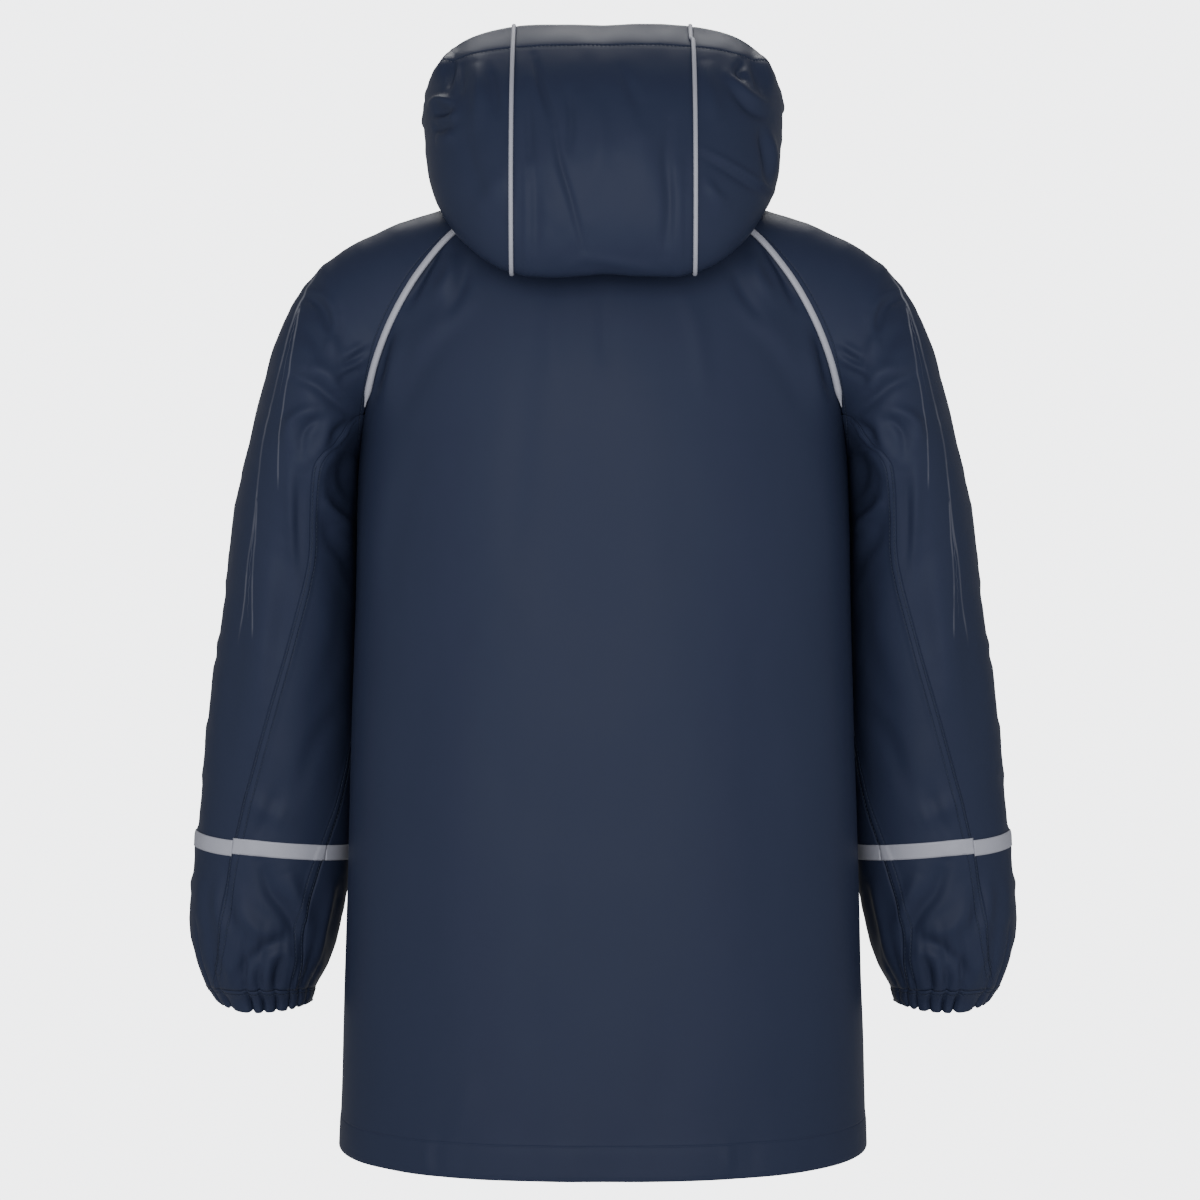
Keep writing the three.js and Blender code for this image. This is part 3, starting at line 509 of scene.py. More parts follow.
def trunkRelief(side):
    creases = backCreases if side == "back" else frontCreases
    seed = 11 if side == "back" else 21

    def relief(points, normals, s, t):
        u, v = seen(points, side == "back")
        total = creased(u, v, creases)
        fromHem = (2 - t) * sewing["trunk"]
        total += 0.45 * step(-9, 19.2, 0.8, fromHem)
        total -= 0.35 * np.exp(-(((fromHem - sewing["hem"]) / 1.2) ** 2))
        total += 0.35 * ripple(u, v, 46, seed)
        total += 0.3 * ripple(u, v * 0.6, 15, seed + 1) * (0.4 + 0.6 * smooth(60, 0, fromHem))
        total += 0.8 * ripple(u, v * 0.3, 22, seed + 2) * smooth(45, 0, fromHem)
        toEdge = (1 - np.abs(s)) * 150 + 5 * smooth(0.9, 1.05, t)
        return total * smooth(0, 5, toEdge)

    return relief


def hoodRelief(points, normals, s, t):
    u, v = seen(points)
    facing = smooth(-0.2, 0.3, normals[..., 1])
    total = creased(u, v, hoodCreases) * facing
    flap = step(43.5, 49.5, 0.7, np.abs(u)) * smooth(44, 34, v) * facing
    total += 0.5 * flap
    reach = np.abs(s)
    gather = smooth(0.7, 0.98, reach) * smooth(0.2, 0.45, t)
    phase = 2 * np.pi * (8 * t + 0.35 * np.sin(5 * t + np.sign(s)))
    total += gather * (2.3 * np.sin(phase) + 1.1 * np.sin(2.3 * phase + 1) + 1.2 * ripple(u * 0.7, v, 8, 31))
    total += 0.5 * ripple(u, v, 26, 32) + 0.2 * ripple(u, v, 9, 33)
    fromRim = (1 - t) * sewing["hoodLength"]
    total += 0.2 * step(-9, 17, 0.8, fromRim)
    total -= 0.16 * np.exp(-(((fromRim - sewing["casing"]) / 1.2) ** 2))
    fromSide = (1 - reach) * sewing["hoodWidth"]
    total += 0.35 * step(-9, 17, 0.8, fromSide) * smooth(0.1, 0.3, t)
    toSeam = np.abs(reach - hoodSeam(t)) * sewing["hoodWidth"]
    return total * smooth(0, 5, toSeam) * smooth(0, 0.06, t)


# Meshes

def makeMesh(name, points, faces, material, values=None):
    mesh = bpy.data.meshes.new(name)
    mesh.from_pydata((np.asarray(points) / 1000).tolist(), [], faces)
    for key, value in (values or {}).items():
        attribute = mesh.attributes.new(key, "FLOAT", "POINT")
        attribute.data.foreach_set("value", np.asarray(value, np.float32).ravel())
    mesh.polygons.foreach_set("use_smooth", [True] * len(mesh.polygons))
    mesh.materials.append(material)
    mesh.update()
    thing = bpy.data.objects.new(name, mesh)
    bpy.context.scene.collection.objects.link(thing)
    return thing


def gridFaces(rows, columns, first=0, flip=False, closed=False):
    count = columns if closed else columns - 1
    i, j = np.meshgrid(np.arange(rows - 1), np.arange(count), indexing="ij")
    k = (j + 1) % columns
    a, b = first + i * columns + j, first + i * columns + k
    c, d = first + (i + 1) * columns + k, first + (i + 1) * columns + j
    quads = np.stack([a, b, c, d] if flip else [a, d, c, b], axis=-1).reshape(-1, 4)
    return quads.tolist()


def turnedIn(points, normals, depth, radius=0.5):
    # Rows that carry a cloth's last row round its edge and back inside it
    edge, inner, normal = points[-1], points[-2], normals[-1]
    out = unit(edge - inner)
    rows = [edge]
    for angle in np.linspace(0, np.pi, 5)[1:]:
        rows.append(edge + out * radius * math.sin(angle) - normal * radius * (1 - math.cos(angle)))
    apart = np.cumsum(np.linalg.norm(np.diff(points[::-1], axis=0), axis=-1).mean(axis=-1))
    for k in range(1, len(points) - 1):
        if apart[k - 1] > depth:
            break
        rows.append(points[-1 - k] - normals[-1 - k] * 2 * radius)
    return np.array(rows)


def clothPanel(name, nodes, surface, relief, low, high, stops, count, material, values,
               limits=None, mirror=False, turned=(), slotName="coated_cloth", thickness=0.6, packed=0.0):
    # A thin piece of cloth over a surface, raised by its relief and turned in at some edges
    share = np.linspace(0, 1, count)
    share = share * (1 + packed) - packed * share**2
    t = np.repeat(np.asarray(stops, float)[:, None], count, axis=1)
    s = low(t) + (high(t) - low(t)) * share[None, :]
    base = surface(s, t)
    normals = normalOf(surface, s, t, limits)
    points = base + normals * relief(base, normals, s, t)[..., None]
    marks = values(base, normals, s, t)
    pieces = [(points, marks, False)]
    for edge, depth in turned:
        turn = {"end": lambda g: g, "start": lambda g: g[::-1],
                "right": lambda g: np.swapaxes(g, 0, 1), "left": lambda g: np.swapaxes(g, 0, 1)[::-1]}[edge]
        strip = turnedIn(turn(points), turn(normals), depth)
        edgeMarks = {key: np.broadcast_to(turn(marks[key])[-1], strip.shape[:2]) for key in marks}
        pieces.append((strip, edgeMarks, edge in ("right", "start")))
    everyPoint, everyFace, everyMark = [], [], {key: [] for key in marks}
    first = 0
    for grid, mark, reverse in pieces:
        rows, columns = grid.shape[:2]
        everyFace += gridFaces(rows, columns, first, flip=mirror != reverse)
        everyPoint.append(grid.reshape(-1, 3))
        for key in marks:
            everyMark[key].append(np.ravel(mark[key]))
        first += rows * columns
    allPoints = np.concatenate(everyPoint)
    if mirror:
        allPoints = mirrored(allPoints)
    joined = {key: np.concatenate(value) for key, value in everyMark.items()}
    thing = makeMesh(name, allPoints, everyFace, material, joined)
    weld = thing.modifiers.new("weld", "WELD")
    weld.merge_threshold = 1e-5
    shell = thing.modifiers.new("shell", "SOLIDIFY")
    shell.thickness = thickness / 1000
    shell.offset = -1
    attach(thing, "coat")
    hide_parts(*nodes)
    return thing


def swept(name, nodes, line, ups, sections, material, mirror=False, body="coat"):
    # A cord along a line. Each section is an outline of places sideways and upwards.
    along = unit(np.gradient(line, axis=0))
    side = unit(np.cross(along, ups))
    up = np.cross(side, along)
    rings = line[:, None] + side[:, None] * sections[..., :1] + up[:, None] * sections[..., 1:]
    rows, columns = rings.shape[:2]
    points = rings.reshape(-1, 3)
    faces = gridFaces(rows, columns, flip=mirror, closed=True)
    caps = [list(range(columns)), list(range((rows - 1) * columns, rows * columns))[::-1]]
    if mirror:
        points = mirrored(points)
        caps = [cap[::-1] for cap in caps]
    length = np.concatenate([[0], np.cumsum(np.linalg.norm(np.diff(line, axis=0), axis=-1))])
    thing = makeMesh(name, points, faces + caps, material, {"along": np.repeat(length, columns)})
    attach(thing, body)
    if nodes:
        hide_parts(*nodes)
    return thing


threads = {"coat": []}


def sewn(line, normals, pitch=2.5, length=1.7, width=0.5, sink=0.05, mirror=False):
    # Adds a row of stitches along a line on the cloth
    apart = np.concatenate([[0], np.cumsum(np.linalg.norm(np.diff(line, axis=0), axis=-1))])
    at = np.arange(pitch, apart[-1] - pitch, pitch)
    middle = np.stack([np.interp(at, apart, line[:, k]) for k in range(3)], axis=-1)
    ahead = np.stack([np.interp(at + 0.4, apart, line[:, k]) for k in range(3)], axis=-1)
    normal = unit(np.stack([np.interp(at, apart, normals[:, k]) for k in range(3)], axis=-1))
    along = unit(ahead - middle)
    side = np.cross(along, normal)
    middle = middle + normal * (width * 0.35 - sink)
    if mirror:
        middle, along, side, normal = (mirrored(x) for x in (middle, along, -side, normal))
    for m, a, b, n in zip(middle, along, side, normal):
        threads["coat"].append((m, a * length / 2, b * width / 2, n * width / 2))


def sewnOn(surface, relief, s, t, **settings):
    s, t = np.broadcast_arrays(np.asarray(s, float), np.asarray(t, float))
    base = surface(s, t)
    normals = normalOf(surface, s, t)
    sewn(base + normals * relief(base, normals, s, t)[..., None], normals, **settings)


# Materials

class Wire:
    # A socket in a material's nodes. Sums and products of wires add the math nodes for them.

    def __init__(self, tree, socket=None):
        self.tree = tree
        self.socket = socket

    def make(self, kind, settings=None, values=None, out=0):
        node = self.tree.nodes.new(kind)
        for key, value in (settings or {}).items():
            setattr(node, key, value)
        for key, value in (values or {}).items():
            if isinstance(value, Wire):
                self.tree.links.new(value.socket, node.inputs[key])
            else:
                node.inputs[key].default_value = value
        return Wire(self.tree, node.outputs[out] if node.outputs else None)

    def math(self, operation, *values):
        return self.make("ShaderNodeMath", {"operation": operation}, dict(enumerate(values)))

    def __add__(self, other):
        return self.math("ADD", self, other)

    def __sub__(self, other):
        return self.math("SUBTRACT", self, other)

    def __rsub__(self, other):
        return self.math("SUBTRACT", other, self)

    def __mul__(self, other):
        return self.math("MULTIPLY", self, other)

    def __abs__(self):
        return self.math("ABSOLUTE", self)

    __radd__ = __add__
    __rmul__ = __mul__

    def fade(self, start, end):
        # 1 up to start, falling smoothly to 0 at end
        return self.make("ShaderNodeMapRange", {"interpolation_type": "SMOOTHERSTEP"}, {
            "Value": self, "From Min": start, "From Max": end, "To Min": 1.0, "To Max": 0.0})

    def blend(self, low, high):
        # The colour low where this is 0, and high where it is 1
        return self.make("ShaderNodeMix", {"data_type": "RGBA"}, {0: self, 6: low, 7: high}, 2)

    def stretch(self, factors):
        return self.make("ShaderNodeVectorMath", {"operation": "MULTIPLY"}, {0: self, 1: factors})

    def noise(self, scale, detail=2.0, roughness=0.5):
        return self.make("ShaderNodeTexNoise", {"noise_dimensions": "3D"}, {
            "Vector": self, "Scale": scale, "Detail": detail, "Roughness": roughness})


def newMaterial(name):
    material = bpy.data.materials.new(name)
    material.use_nodes = True
    tree = material.node_tree
    tree.nodes.clear()
    start = Wire(tree)
    place = start.make("ShaderNodeTexCoord", out="Object")
    mark = lambda key: start.make("ShaderNodeAttribute", {"attribute_name": key}, out="Fac")
    return material, place, mark


def finish(place, colour, roughness, height, constants):
    # height is in millimetres
    normal = place.make("ShaderNodeBump", values={"Strength": 1.0, "Distance": 0.001, "Height": height})
    surface = place.make("ShaderNodeBsdfPrincipled", values={
        "Base Color": colour, "Roughness": roughness, "Normal": normal, **constants})
    place.make("ShaderNodeOutputMaterial", values={"Surface": surface})


clothLook = {
    "low": (0.0138, 0.0181, 0.0365, 1), "high": (0.0168, 0.0218, 0.0432, 1),
    # Colour of the crease lines: partly a whitish mark in the coating, partly a painted highlight
    "pressed": (0.16, 0.165, 0.19, 1),
    "roughness": 0.47, "roughnessSpread": 0.14, "specular": 0.065, "grain": 0.020,
    "trough": 0.22, "ridge": 0.16,
}


def makeCloth():
    material, place, mark = newMaterial("coated_cloth")
    cloudy = place.noise(14.0, 3.0)
    streaky = place.stretch((1.0, 1.0, 0.25)).noise(60.0, 3.0, 0.6)
    grain = place.noise(900.0, 2.0)
    pores = place.noise(2600.0, 1.0)
    row = abs(mark("line")).fade(0.0, 1.0)
    pair = abs(abs(mark("pair")) - 2.25).fade(0.0, 1.1)
    # Painted highlight along the crease lines, partly a whitish mark in the coating; the same mask also raises a thin
    # ridge
    pressed = abs(mark("press")).fade(0.0, 0.85) * mark("force")
    patchyCreaseMarkAndHighlight = pressed * (0.6 + 0.4 * place.noise(45.0, 2.0).fade(0.6, 0.4))
    colour = (0.5 * cloudy + 0.5 * streaky).blend(clothLook["low"], clothLook["high"])
    colour = (0.9 * patchyCreaseMarkAndHighlight).blend(colour, clothLook["pressed"])
    uneven = cloudy + 0.5 * streaky - 0.75
    rough = clothLook["roughness"] + clothLook["roughnessSpread"] * uneven + 0.1 * row
    height = (clothLook["grain"] * grain + 0.006 * pores - clothLook["trough"] * (row + pair)
              + clothLook["ridge"] * patchyCreaseMarkAndHighlight)
    finish(place, colour, rough, height, {"Specular IOR Level": clothLook["specular"]})
    return material


trimLook = {"low": (0.22, 0.225, 0.265, 1), "high": (0.29, 0.295, 0.34, 1), "specular": 0.3, "metallic": 0.1,
            "rib": 1.1}


def makeTrim(name, ribs):
    material, place, mark = newMaterial(name)
    beads = place.noise(1500.0, 2.0)
    worn = place.noise(35.0, 3.0)
    colour = (0.55 * worn + 0.45 * beads).blend(trimLook["low"], trimLook["high"])
    wave = place.math("SINE", mark("along") * (2 * math.pi / trimLook["rib"]))
    height = 0.03 * beads + ribs * wave
    finish(place, colour, 0.42 + 0.16 * worn, height, {
        "Specular IOR Level": trimLook["specular"], "Metallic": trimLook["metallic"]})
    return material


def makeWoven(name, low, high, roughness):
    material, place, mark = newMaterial(name)
    warp = place.stretch((1.0, 1.0, 0.35)).noise(1700.0, 1.0)
    weft = place.stretch((0.3, 1.0, 1.0)).noise(1900.0, 1.0)
    worn = place.noise(40.0, 3.0)
    colour = (0.4 * warp + 0.3 * weft + 0.3 * worn).blend(low, high)
    finish(place, colour, roughness + 0.1 * worn, 0.05 * warp + 0.05 * weft, {"Specular IOR Level": 0.3})
    return material


def makeMetal():
    material, place, mark = newMaterial("zip_metal")
    worn = place.noise(220.0, 4.0)
    fine = place.noise(2200.0, 2.0)
    colour = worn.blend((0.020, 0.028, 0.050, 1), (0.034, 0.044, 0.072, 1))
    finish(place, colour, 0.28 + 0.2 * worn, 0.012 * fine, {"Metallic": 0.55, "Specular IOR Level": 0.5})
    return material


cloth = makeCloth()
pipingTrim = makeTrim("reflective_piping", 0.03)
bandTrim = makeTrim("reflective_band", 0.0)
tapeCloth = makeWoven("zip_tape", (0.008, 0.012, 0.024, 1), (0.014, 0.020, 0.036, 1), 0.75)
thread = makeWoven("thread", (0.010, 0.015, 0.030, 1), (0.017, 0.024, 0.044, 1), 0.55)
metal = makeMetal()
print("materials made")


# Marks on the cloth: millimetres to a row of stitches, to the middle of a felled seam and to
# a crease line, drawn lighter partly as a whitish mark in the coating and partly as a painted highlight

# Lines of the sleeve creases that carry the whitish mark and painted highlight
creaseMarkAndHighlightLines = [
    [(175.5, -29.4), (185.4, -44.3), (190.3, -54.8), (195.3, -70.3), (199, -86.4), (203.4, -101.9),
     (207.1, -118), (209.6, -128.6), (212.7, -150.3), (214.5, -167.6), (217, -189.3), (219.5, -206.7), (221.3, -224.1),
     (223.8, -241.4), (227.5, -264.4)],
    [(214.5, -172), (217, -224.1), (217, -258.8)],
    [(187.9, -51.7), (190.3, -64.1), (192.8, -80.2), (194.7, -92.6), (197.2, -105), (199, -118),
     (200.3, -128.6), (201.5, -146), (201.5, -167.6)],
]


def nearest(*aways):
    best = aways[0]
    for other in aways[1:]:
        best = np.where(np.abs(other) < np.abs(best), other, best)
    return best


def within(holds, away):
    # The distance where it holds, and elsewhere a far one on the same side
    return np.where(holds, away, np.where(away < 0, -99.0, 99.0))


def rowMarks(line):
    far = np.full(line.shape, 99.0)
    return {"line": line, "pair": far, "press": far, "force": 0 * far}


def trunkMarks(points, normals, s, t):
    return rowMarks((2 - t) * sewing["trunk"] - sewing["hem"])


def sleeveMarks(points, normals, angle, t):
    back, inner = sleeveSeamAways(angle, t)
    turn = sleeveSection(t)[2]
    edge = (turn - np.abs(angle)) * sleeve("half", t)
    pair = nearest(within(t > 0.87, back - sewing["felled"]), within(t > 1.03, inner - sewing["felled"]))
    press, force = np.full(t.shape, 99.0), np.zeros(t.shape)
    u, v = seen(points)
    for line in creaseMarkAndHighlightLines:
        away, share = toLine(u, v, line)
        nearer = np.abs(away) < np.abs(press)
        # The painted highlight is made stronger towards the shoulder, where the light catches it
        fading = smooth(0, 0.03, share) * smooth(1, 0.9, share) * (0.32 + 0.68 * smooth(-85, -45, v))
        force = np.where(nearer, fading * smooth(3.6, 2.4, np.abs(away)), force)
        press = np.where(nearer, away, press)
    # The painted highlight is kept only on cloth that faces the back
    force = force * (normals[..., 1] > -0.1)
    return {"line": within(t < 0.95, edge - sewing["raglan"]), "pair": pair, "press": press, "force": force}


def hoodMarks(points, normals, s, t):
    rim = (1 - t) * sewing["hoodLength"] - sewing["casing"]
    face = within(t > 0.2, (1 - np.abs(s)) * sewing["hoodWidth"] - sewing["casing"])
    return rowMarks(nearest(rim, face))


def cuffMarks(points, normals, angle, at):
    return rowMarks((at - sewing["cuff"]) * 19)


# Panels

frontCreases = [
    (-1.6, 5, 0, 96, -52, 112, -82, 124, -112),
    (1.4, 8, 0, 84, -60, 100, -92, 116, -128),
    (-1.4, 6, 0, -94, -54, -110, -86, -126, -118),
    (1.3, 8, 0, -80, -62, -98, -96, -114, -126),
    (0.8, 12, 0, 40, -120, 52, -220, 58, -330),
    (-0.8, 12, 0, -44, -140, -56, -250, -52, -350),
    (1.0, 16, 0, 100, -260, 106, -380, 112, -520),
    (-0.9, 14, 0, -98, -300, -108, -420, -104, -540),
    (0.7, 10, 0, 30, -380, 24, -460, 28, -550),
    (-0.6, 8, 0, -28, -440, -34, -510, -30, -560),
]

whole = lambda t: np.ones_like(t)
bothSides = [("left", False), ("right", True)]
trunkStops = np.concatenate([np.linspace(0, 1, 70)[:-1], np.linspace(1, 2, 136)])
backSurface = lambda s, t: softTrunkPoint("back", -s, t)
frontSurface = lambda s, t: softTrunkPoint("front", s, t)


def zipEdge(t, x=zipHalfOpening):
    edge = frontSurface(np.ones_like(t), t)[..., 0]
    turn = np.radians(np.minimum(90, trunk("turn", t)))
    return np.arcsin(x / edge * np.sin(turn)) / turn


backPanel = {"count": 160, "turned": [("end", 18)]}
panels = {"back": clothPanel("back_cloth", ["back"], backSurface, trunkRelief("back"), lambda t: -whole(t),
                             whole, trunkStops, material=cloth, values=trunkMarks, **backPanel)}

frontPanel = {"count": 58, "turned": [("end", 18), ("left", 14)]}
for side, mirror in bothSides:
    panels["front_" + side] = clothPanel(
        f"front_{side}_cloth", ["front_" + side], frontSurface, trunkRelief("front"), zipEdge, whole,
        trunkStops, material=cloth, values=trunkMarks, mirror=mirror, **frontPanel)

armStops = np.concatenate([np.linspace(0.55, 1, 60)[:-1], np.linspace(1, 1.2, 40)[:-1],
                           np.linspace(1.2, 1.72, 56)[:-1], np.linspace(1.72, 2, 62)])
outerStops = np.concatenate([np.linspace(0, 0.55, 34)[:-1], armStops])
sleeveOuter = {"count": 158, "packed": 0.35, "stops": outerStops}
sleeveUnder = {"count": 38, "stops": np.concatenate([[0.845], armStops[armStops > 0.85]])}
for side, mirror in bothSides:
    panels["sleeve_" + side] = clothPanel(
        f"sleeve_{side}_cloth", [f"sleeve_{side}_{part}" for part in ("shoulder", "arm", "wrist")],
        sleevePoint, sleeveRelief, frontSeamAngle, backSeamAngle, material=cloth, values=sleeveMarks, mirror=mirror,
        **sleeveOuter)
    panels["under_" + side] = clothPanel(
        f"sleeve_{side}_under_cloth", [f"sleeve_{side}_under"], sleevePoint, sleeveRelief, backSeamAngle,
        innerSeamAngle, material=cloth, values=sleeveMarks, mirror=mirror, **sleeveUnder)


def cuffPoint(angle, at):
    crown, inner = cuffRings.points("outX outY outZ", at), cuffRings.points("inX inY inZ", at)
    inner = inner + np.array([4.0, 0, 0]) * (1 - 0.6 * at)[..., None]
    reach = (crown - inner) / 2 * (1 - 0.04 * at**2)[..., None]
    height = -4.2 * (1 - at) + (1.2 + 3.2 * np.cos(angle) ** 2) * at**2
    return ((crown + inner) / 2 + reach * np.cos(angle)[..., None] + np.array([0, 0, 1]) * height[..., None]
            + np.array([0, 1, 0]) * (cuffRings("half", at) * np.sin(angle))[..., None])


def cuffRelief(points, normals, angle, at):
    gathered = gathers(angle) * (0.8 + 0.9 * smooth(0.05, 0.75, at))
    return gathered + 0.25 * ripple(9 * np.sin(angle), 19 * at, 4, 41)


cuffPanel = {"count": 300, "stops": np.linspace(0, 1, 13), "turned": [("end", 9)]}
for side, mirror in bothSides:
    panels["cuff_" + side] = clothPanel(
        f"cuff_{side}_cloth", ["cuff_" + side], cuffPoint, cuffRelief, lambda t: -np.pi * whole(t),
        lambda t: np.pi * whole(t), material=cloth, values=cuffMarks, mirror=mirror, **cuffPanel)

hoodMiddle = {"count": 76, "stops": np.linspace(0, 1, 124), "turned": [("end", 16)]}
hoodSides = {"count": 104, "stops": np.linspace(0, 1, 124), "turned": [("end", 16), ("right", 16)]}
hoodFromRight = lambda s, t: hoodPoint(-s, t) * np.array([-1, 1, 1])
hoodReliefRight = lambda points, normals, s, t: hoodRelief(mirrored(points), mirrored(normals), -s, t)
hoodPieces = [
    ("middle", hoodPoint, hoodRelief, lambda t: -hoodSeam(t), hoodSeam, False, hoodMiddle),
    ("left", hoodPoint, hoodRelief, hoodSeam, whole, False, hoodSides),
    ("right", hoodFromRight, hoodReliefRight, hoodSeam, whole, True, hoodSides),
]
for part, form, raised, low, high, mirror, settings in hoodPieces:
    panels["hood_" + part] = clothPanel(f"hood_{part}_cloth", ["hood_" + part], form, raised, low, high,
                                        material=cloth, values=hoodMarks, mirror=mirror, **settings)
print("panels made")


# Piping, bands and zip

pipingForm = {"sides": 14}
raglanCord = {"half": 2.2, "height": 1.5, "lift": 0.95}
hoodCord = {"half": 1.35, "height": 1.2, "lift": 0.75}


def cordSections(cord, rows, taper):
    angle = np.linspace(0, 2 * np.pi, pipingForm["sides"], endpoint=False)
    along = np.linspace(0, 1, rows)
    size = 1 - taper * smooth(0.93, 1, along)
    across = cord["half"] * np.cos(angle)[None, :] * size[:, None]
    upward = cord["height"] * np.sin(angle)[None, :] * size[:, None]
    return np.stack([across, upward], axis=-1)


def pipingAlong(name, nodes, cord, seam, normalsAt, t, taper=0.0, mirror=False, bent=None):
    line = seam(t)
    if bent is not None:
        line = bent(line, t)
    one, other = normalsAt(t)
    up = unit(one + other)
    side = unit(np.cross(unit(np.gradient(line, axis=0)), up))
    facing = np.sum(up * one, axis=-1).clip(-1, 1)
    folded = -np.sign(np.sum(one * side, axis=-1)) * np.sign(np.sum(other * side, axis=-1))
    valley = np.maximum(0, folded) * np.tan(np.arccos(facing))
    lift = np.maximum(cord["lift"], 0.2 + 0.87 * cord["half"] * valley)
    line = line + up * lift[:, None]
    sections = cordSections(cord, len(t), taper)
    return swept(name, nodes, line, up, sections, pipingTrim, mirror)


raglanSpan = np.linspace(0.02, 0.815, 150)
for face, sign in [("back", 1), ("front", -1)]:
    seam = lambda t, face=face: trunkPoint(face, np.ones_like(t), t)
    trunkSide = lambda s, t, face=face, sign=sign: trunkPoint(face, -s * sign, t)

    def normalsAt(t, sign=sign, trunkSide=trunkSide):
        turn = sleeveSection(t)[2]
        onTrunk = normalOf(trunkSide, -sign * np.ones_like(t), t, ((-1, 0), (1, 1)))
        onSleeve = normalOf(sleevePoint, sign * (turn - 0.02), t, ((-9, 0), (9, 1)))
        return onTrunk, onSleeve

    for side, mirror in bothSides:
        pipingAlong(f"piping_{face}_{side}_cord", [f"piping_{face}_{side}"], raglanCord, seam, normalsAt,
                    raglanSpan, 0.8, mirror)

hoodSpan = np.linspace(0.03, 1, 150)
onHood = lambda t: hoodPoint(hoodSeam(t), t)
hoodNormals = lambda t: (normalOf(hoodPoint, hoodSeam(t), t, ((-1, 0), (1, 1))),) * 2
kinked = lambda line, t: line - np.array([1.3, 0, 0]) * smooth(0.925, 0.935, t)[:, None]
pipingAlong("piping_hood_left_cord", ["piping_hood_left"], hoodCord, onHood, hoodNormals, hoodSpan)
pipingAlong("piping_hood_right_cord", ["piping_hood_right"], hoodCord, onHood, hoodNormals, hoodSpan,
            mirror=True, bent=kinked)

bandForm = {"middle": 1.755, "height": 10.0, "lift": 0.5}
perMillimetre = 0.1 / float(np.linalg.norm(sleevePoint(np.zeros(1), np.array([1.7])) -
                                           sleevePoint(np.zeros(1), np.array([1.8]))))
bandStops = bandForm["middle"] + np.linspace(-0.5, 0.5, 9) * bandForm["height"] * perMillimetre
overSleeve = lambda points, normals, angle, t: sleeveRelief(points, normals, angle, t) + bandForm["lift"]
bandMarks = lambda points, normals, angle, t: {"along": 40 * angle}
bandAt = bandForm["middle"]
backAngle = lambda t: backSeamAngle(np.full_like(t, bandAt))
frontAngle = lambda t: frontSeamAngle(np.full_like(t, bandAt))
innerAngle = lambda t: innerSeamAngle(np.full_like(t, bandAt))
lowered = 1.6 * perMillimetre
lowerBand = lambda angle, t: sleevePoint(angle, t + lowered * smooth(0.1, 1.0, angle))
for side, mirror in bothSides:
    clothPanel(
        f"band_{side}_outer_tape", [f"band_{side}_outer"], lowerBand, overSleeve, frontAngle, backAngle,
        bandStops, 170, bandTrim, bandMarks, mirror=mirror, slotName="reflective_trim", thickness=0.35)
    clothPanel(
        f"band_{side}_under_tape", [f"band_{side}_under"], sleevePoint, overSleeve, backAngle, innerAngle,
        bandStops, 60, bandTrim, bandMarks, mirror=mirror, slotName="reflective_trim", thickness=0.35)

# What each piece is cut to: width, length and area in metres
cuts = {
    "back": (0.45, 0.65, 0.235), "front_left": (0.23, 0.64, 0.118), "front_right": (0.23, 0.64, 0.118),
    "sleeve_left": (0.27, 0.61, 0.123), "sleeve_right": (0.27, 0.61, 0.123),
    "under_left": (0.08, 0.40, 0.024), "under_right": (0.08, 0.40, 0.024),
    "cuff_left": (0.24, 0.026, None), "cuff_right": (0.24, 0.026, None),
    "hood_middle": (0.135, 0.29, 0.031), "hood_left": (0.23, 0.29, 0.033), "hood_right": (0.23, 0.29, 0.033),
}
for name, (width, length, area) in cuts.items():
    part, _, side = name.partition("_")

zipForm = {"depth": 1.9, "tape": 13.0, "toothGap": 0.5, "pitch": 2.5}


def insideFront(x, t):
    s = zipEdge(t, np.asarray(x, float))
    normal = normalOf(frontSurface, s, t, ((-1, 0), (1, 2)))
    return frontSurface(s, t) - normal * zipForm["depth"]


tapeStops = np.linspace(0, 2, 110)
level = lambda points, normals, s, t: np.zeros_like(t)
tapeMarks = lambda points, normals, s, t: {"along": 540 * t}
for side, mirror in bothSides:
    tape = clothPanel(
        f"zip_tape_{side}_cloth", ["zip_tape_" + side], insideFront, level,
        lambda t: zipForm["toothGap"] * whole(t),
        lambda t: (zipForm["toothGap"] + zipForm["tape"]) * whole(t),
        tapeStops, 10, tapeCloth, tapeMarks,
        mirror=mirror, slotName="zip_tape", thickness=0.8)


def beads(name, rows, profile, sides, material, slotName, squareness=1.0):
    # Small joined bodies. Each row is a middle and three half axes, profile is (place, radius).
    rows = np.array(rows)
    angle = 2 * np.pi * (np.arange(sides) + 0.5) / sides
    ca, sa = np.cos(angle), np.sin(angle)
    ca, sa = np.sign(ca) * np.abs(ca) ** squareness, np.sign(sa) * np.abs(sa) ** squareness
    at = np.array([x for x, r in profile])
    radius = np.array([r for x, r in profile])
    around = np.outer(radius, ca).ravel(), np.outer(radius, sa).ravel()
    shape = np.stack([np.repeat(at, sides), *around], axis=-1)
    points = rows[:, None, 0] + np.einsum("pk,nkd->npd", shape, rows[:, 1:])
    size = len(shape)
    template = gridFaces(len(at), sides, closed=True)
    caps = [list(range(sides)), list(range(size - sides, size))[::-1]]
    faces = [[k + n * size for k in face] for n in range(len(rows)) for face in template + caps]
    thing = makeMesh(name, points.reshape(-1, 3), faces, material)
    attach(thing, "coat")
    return thing


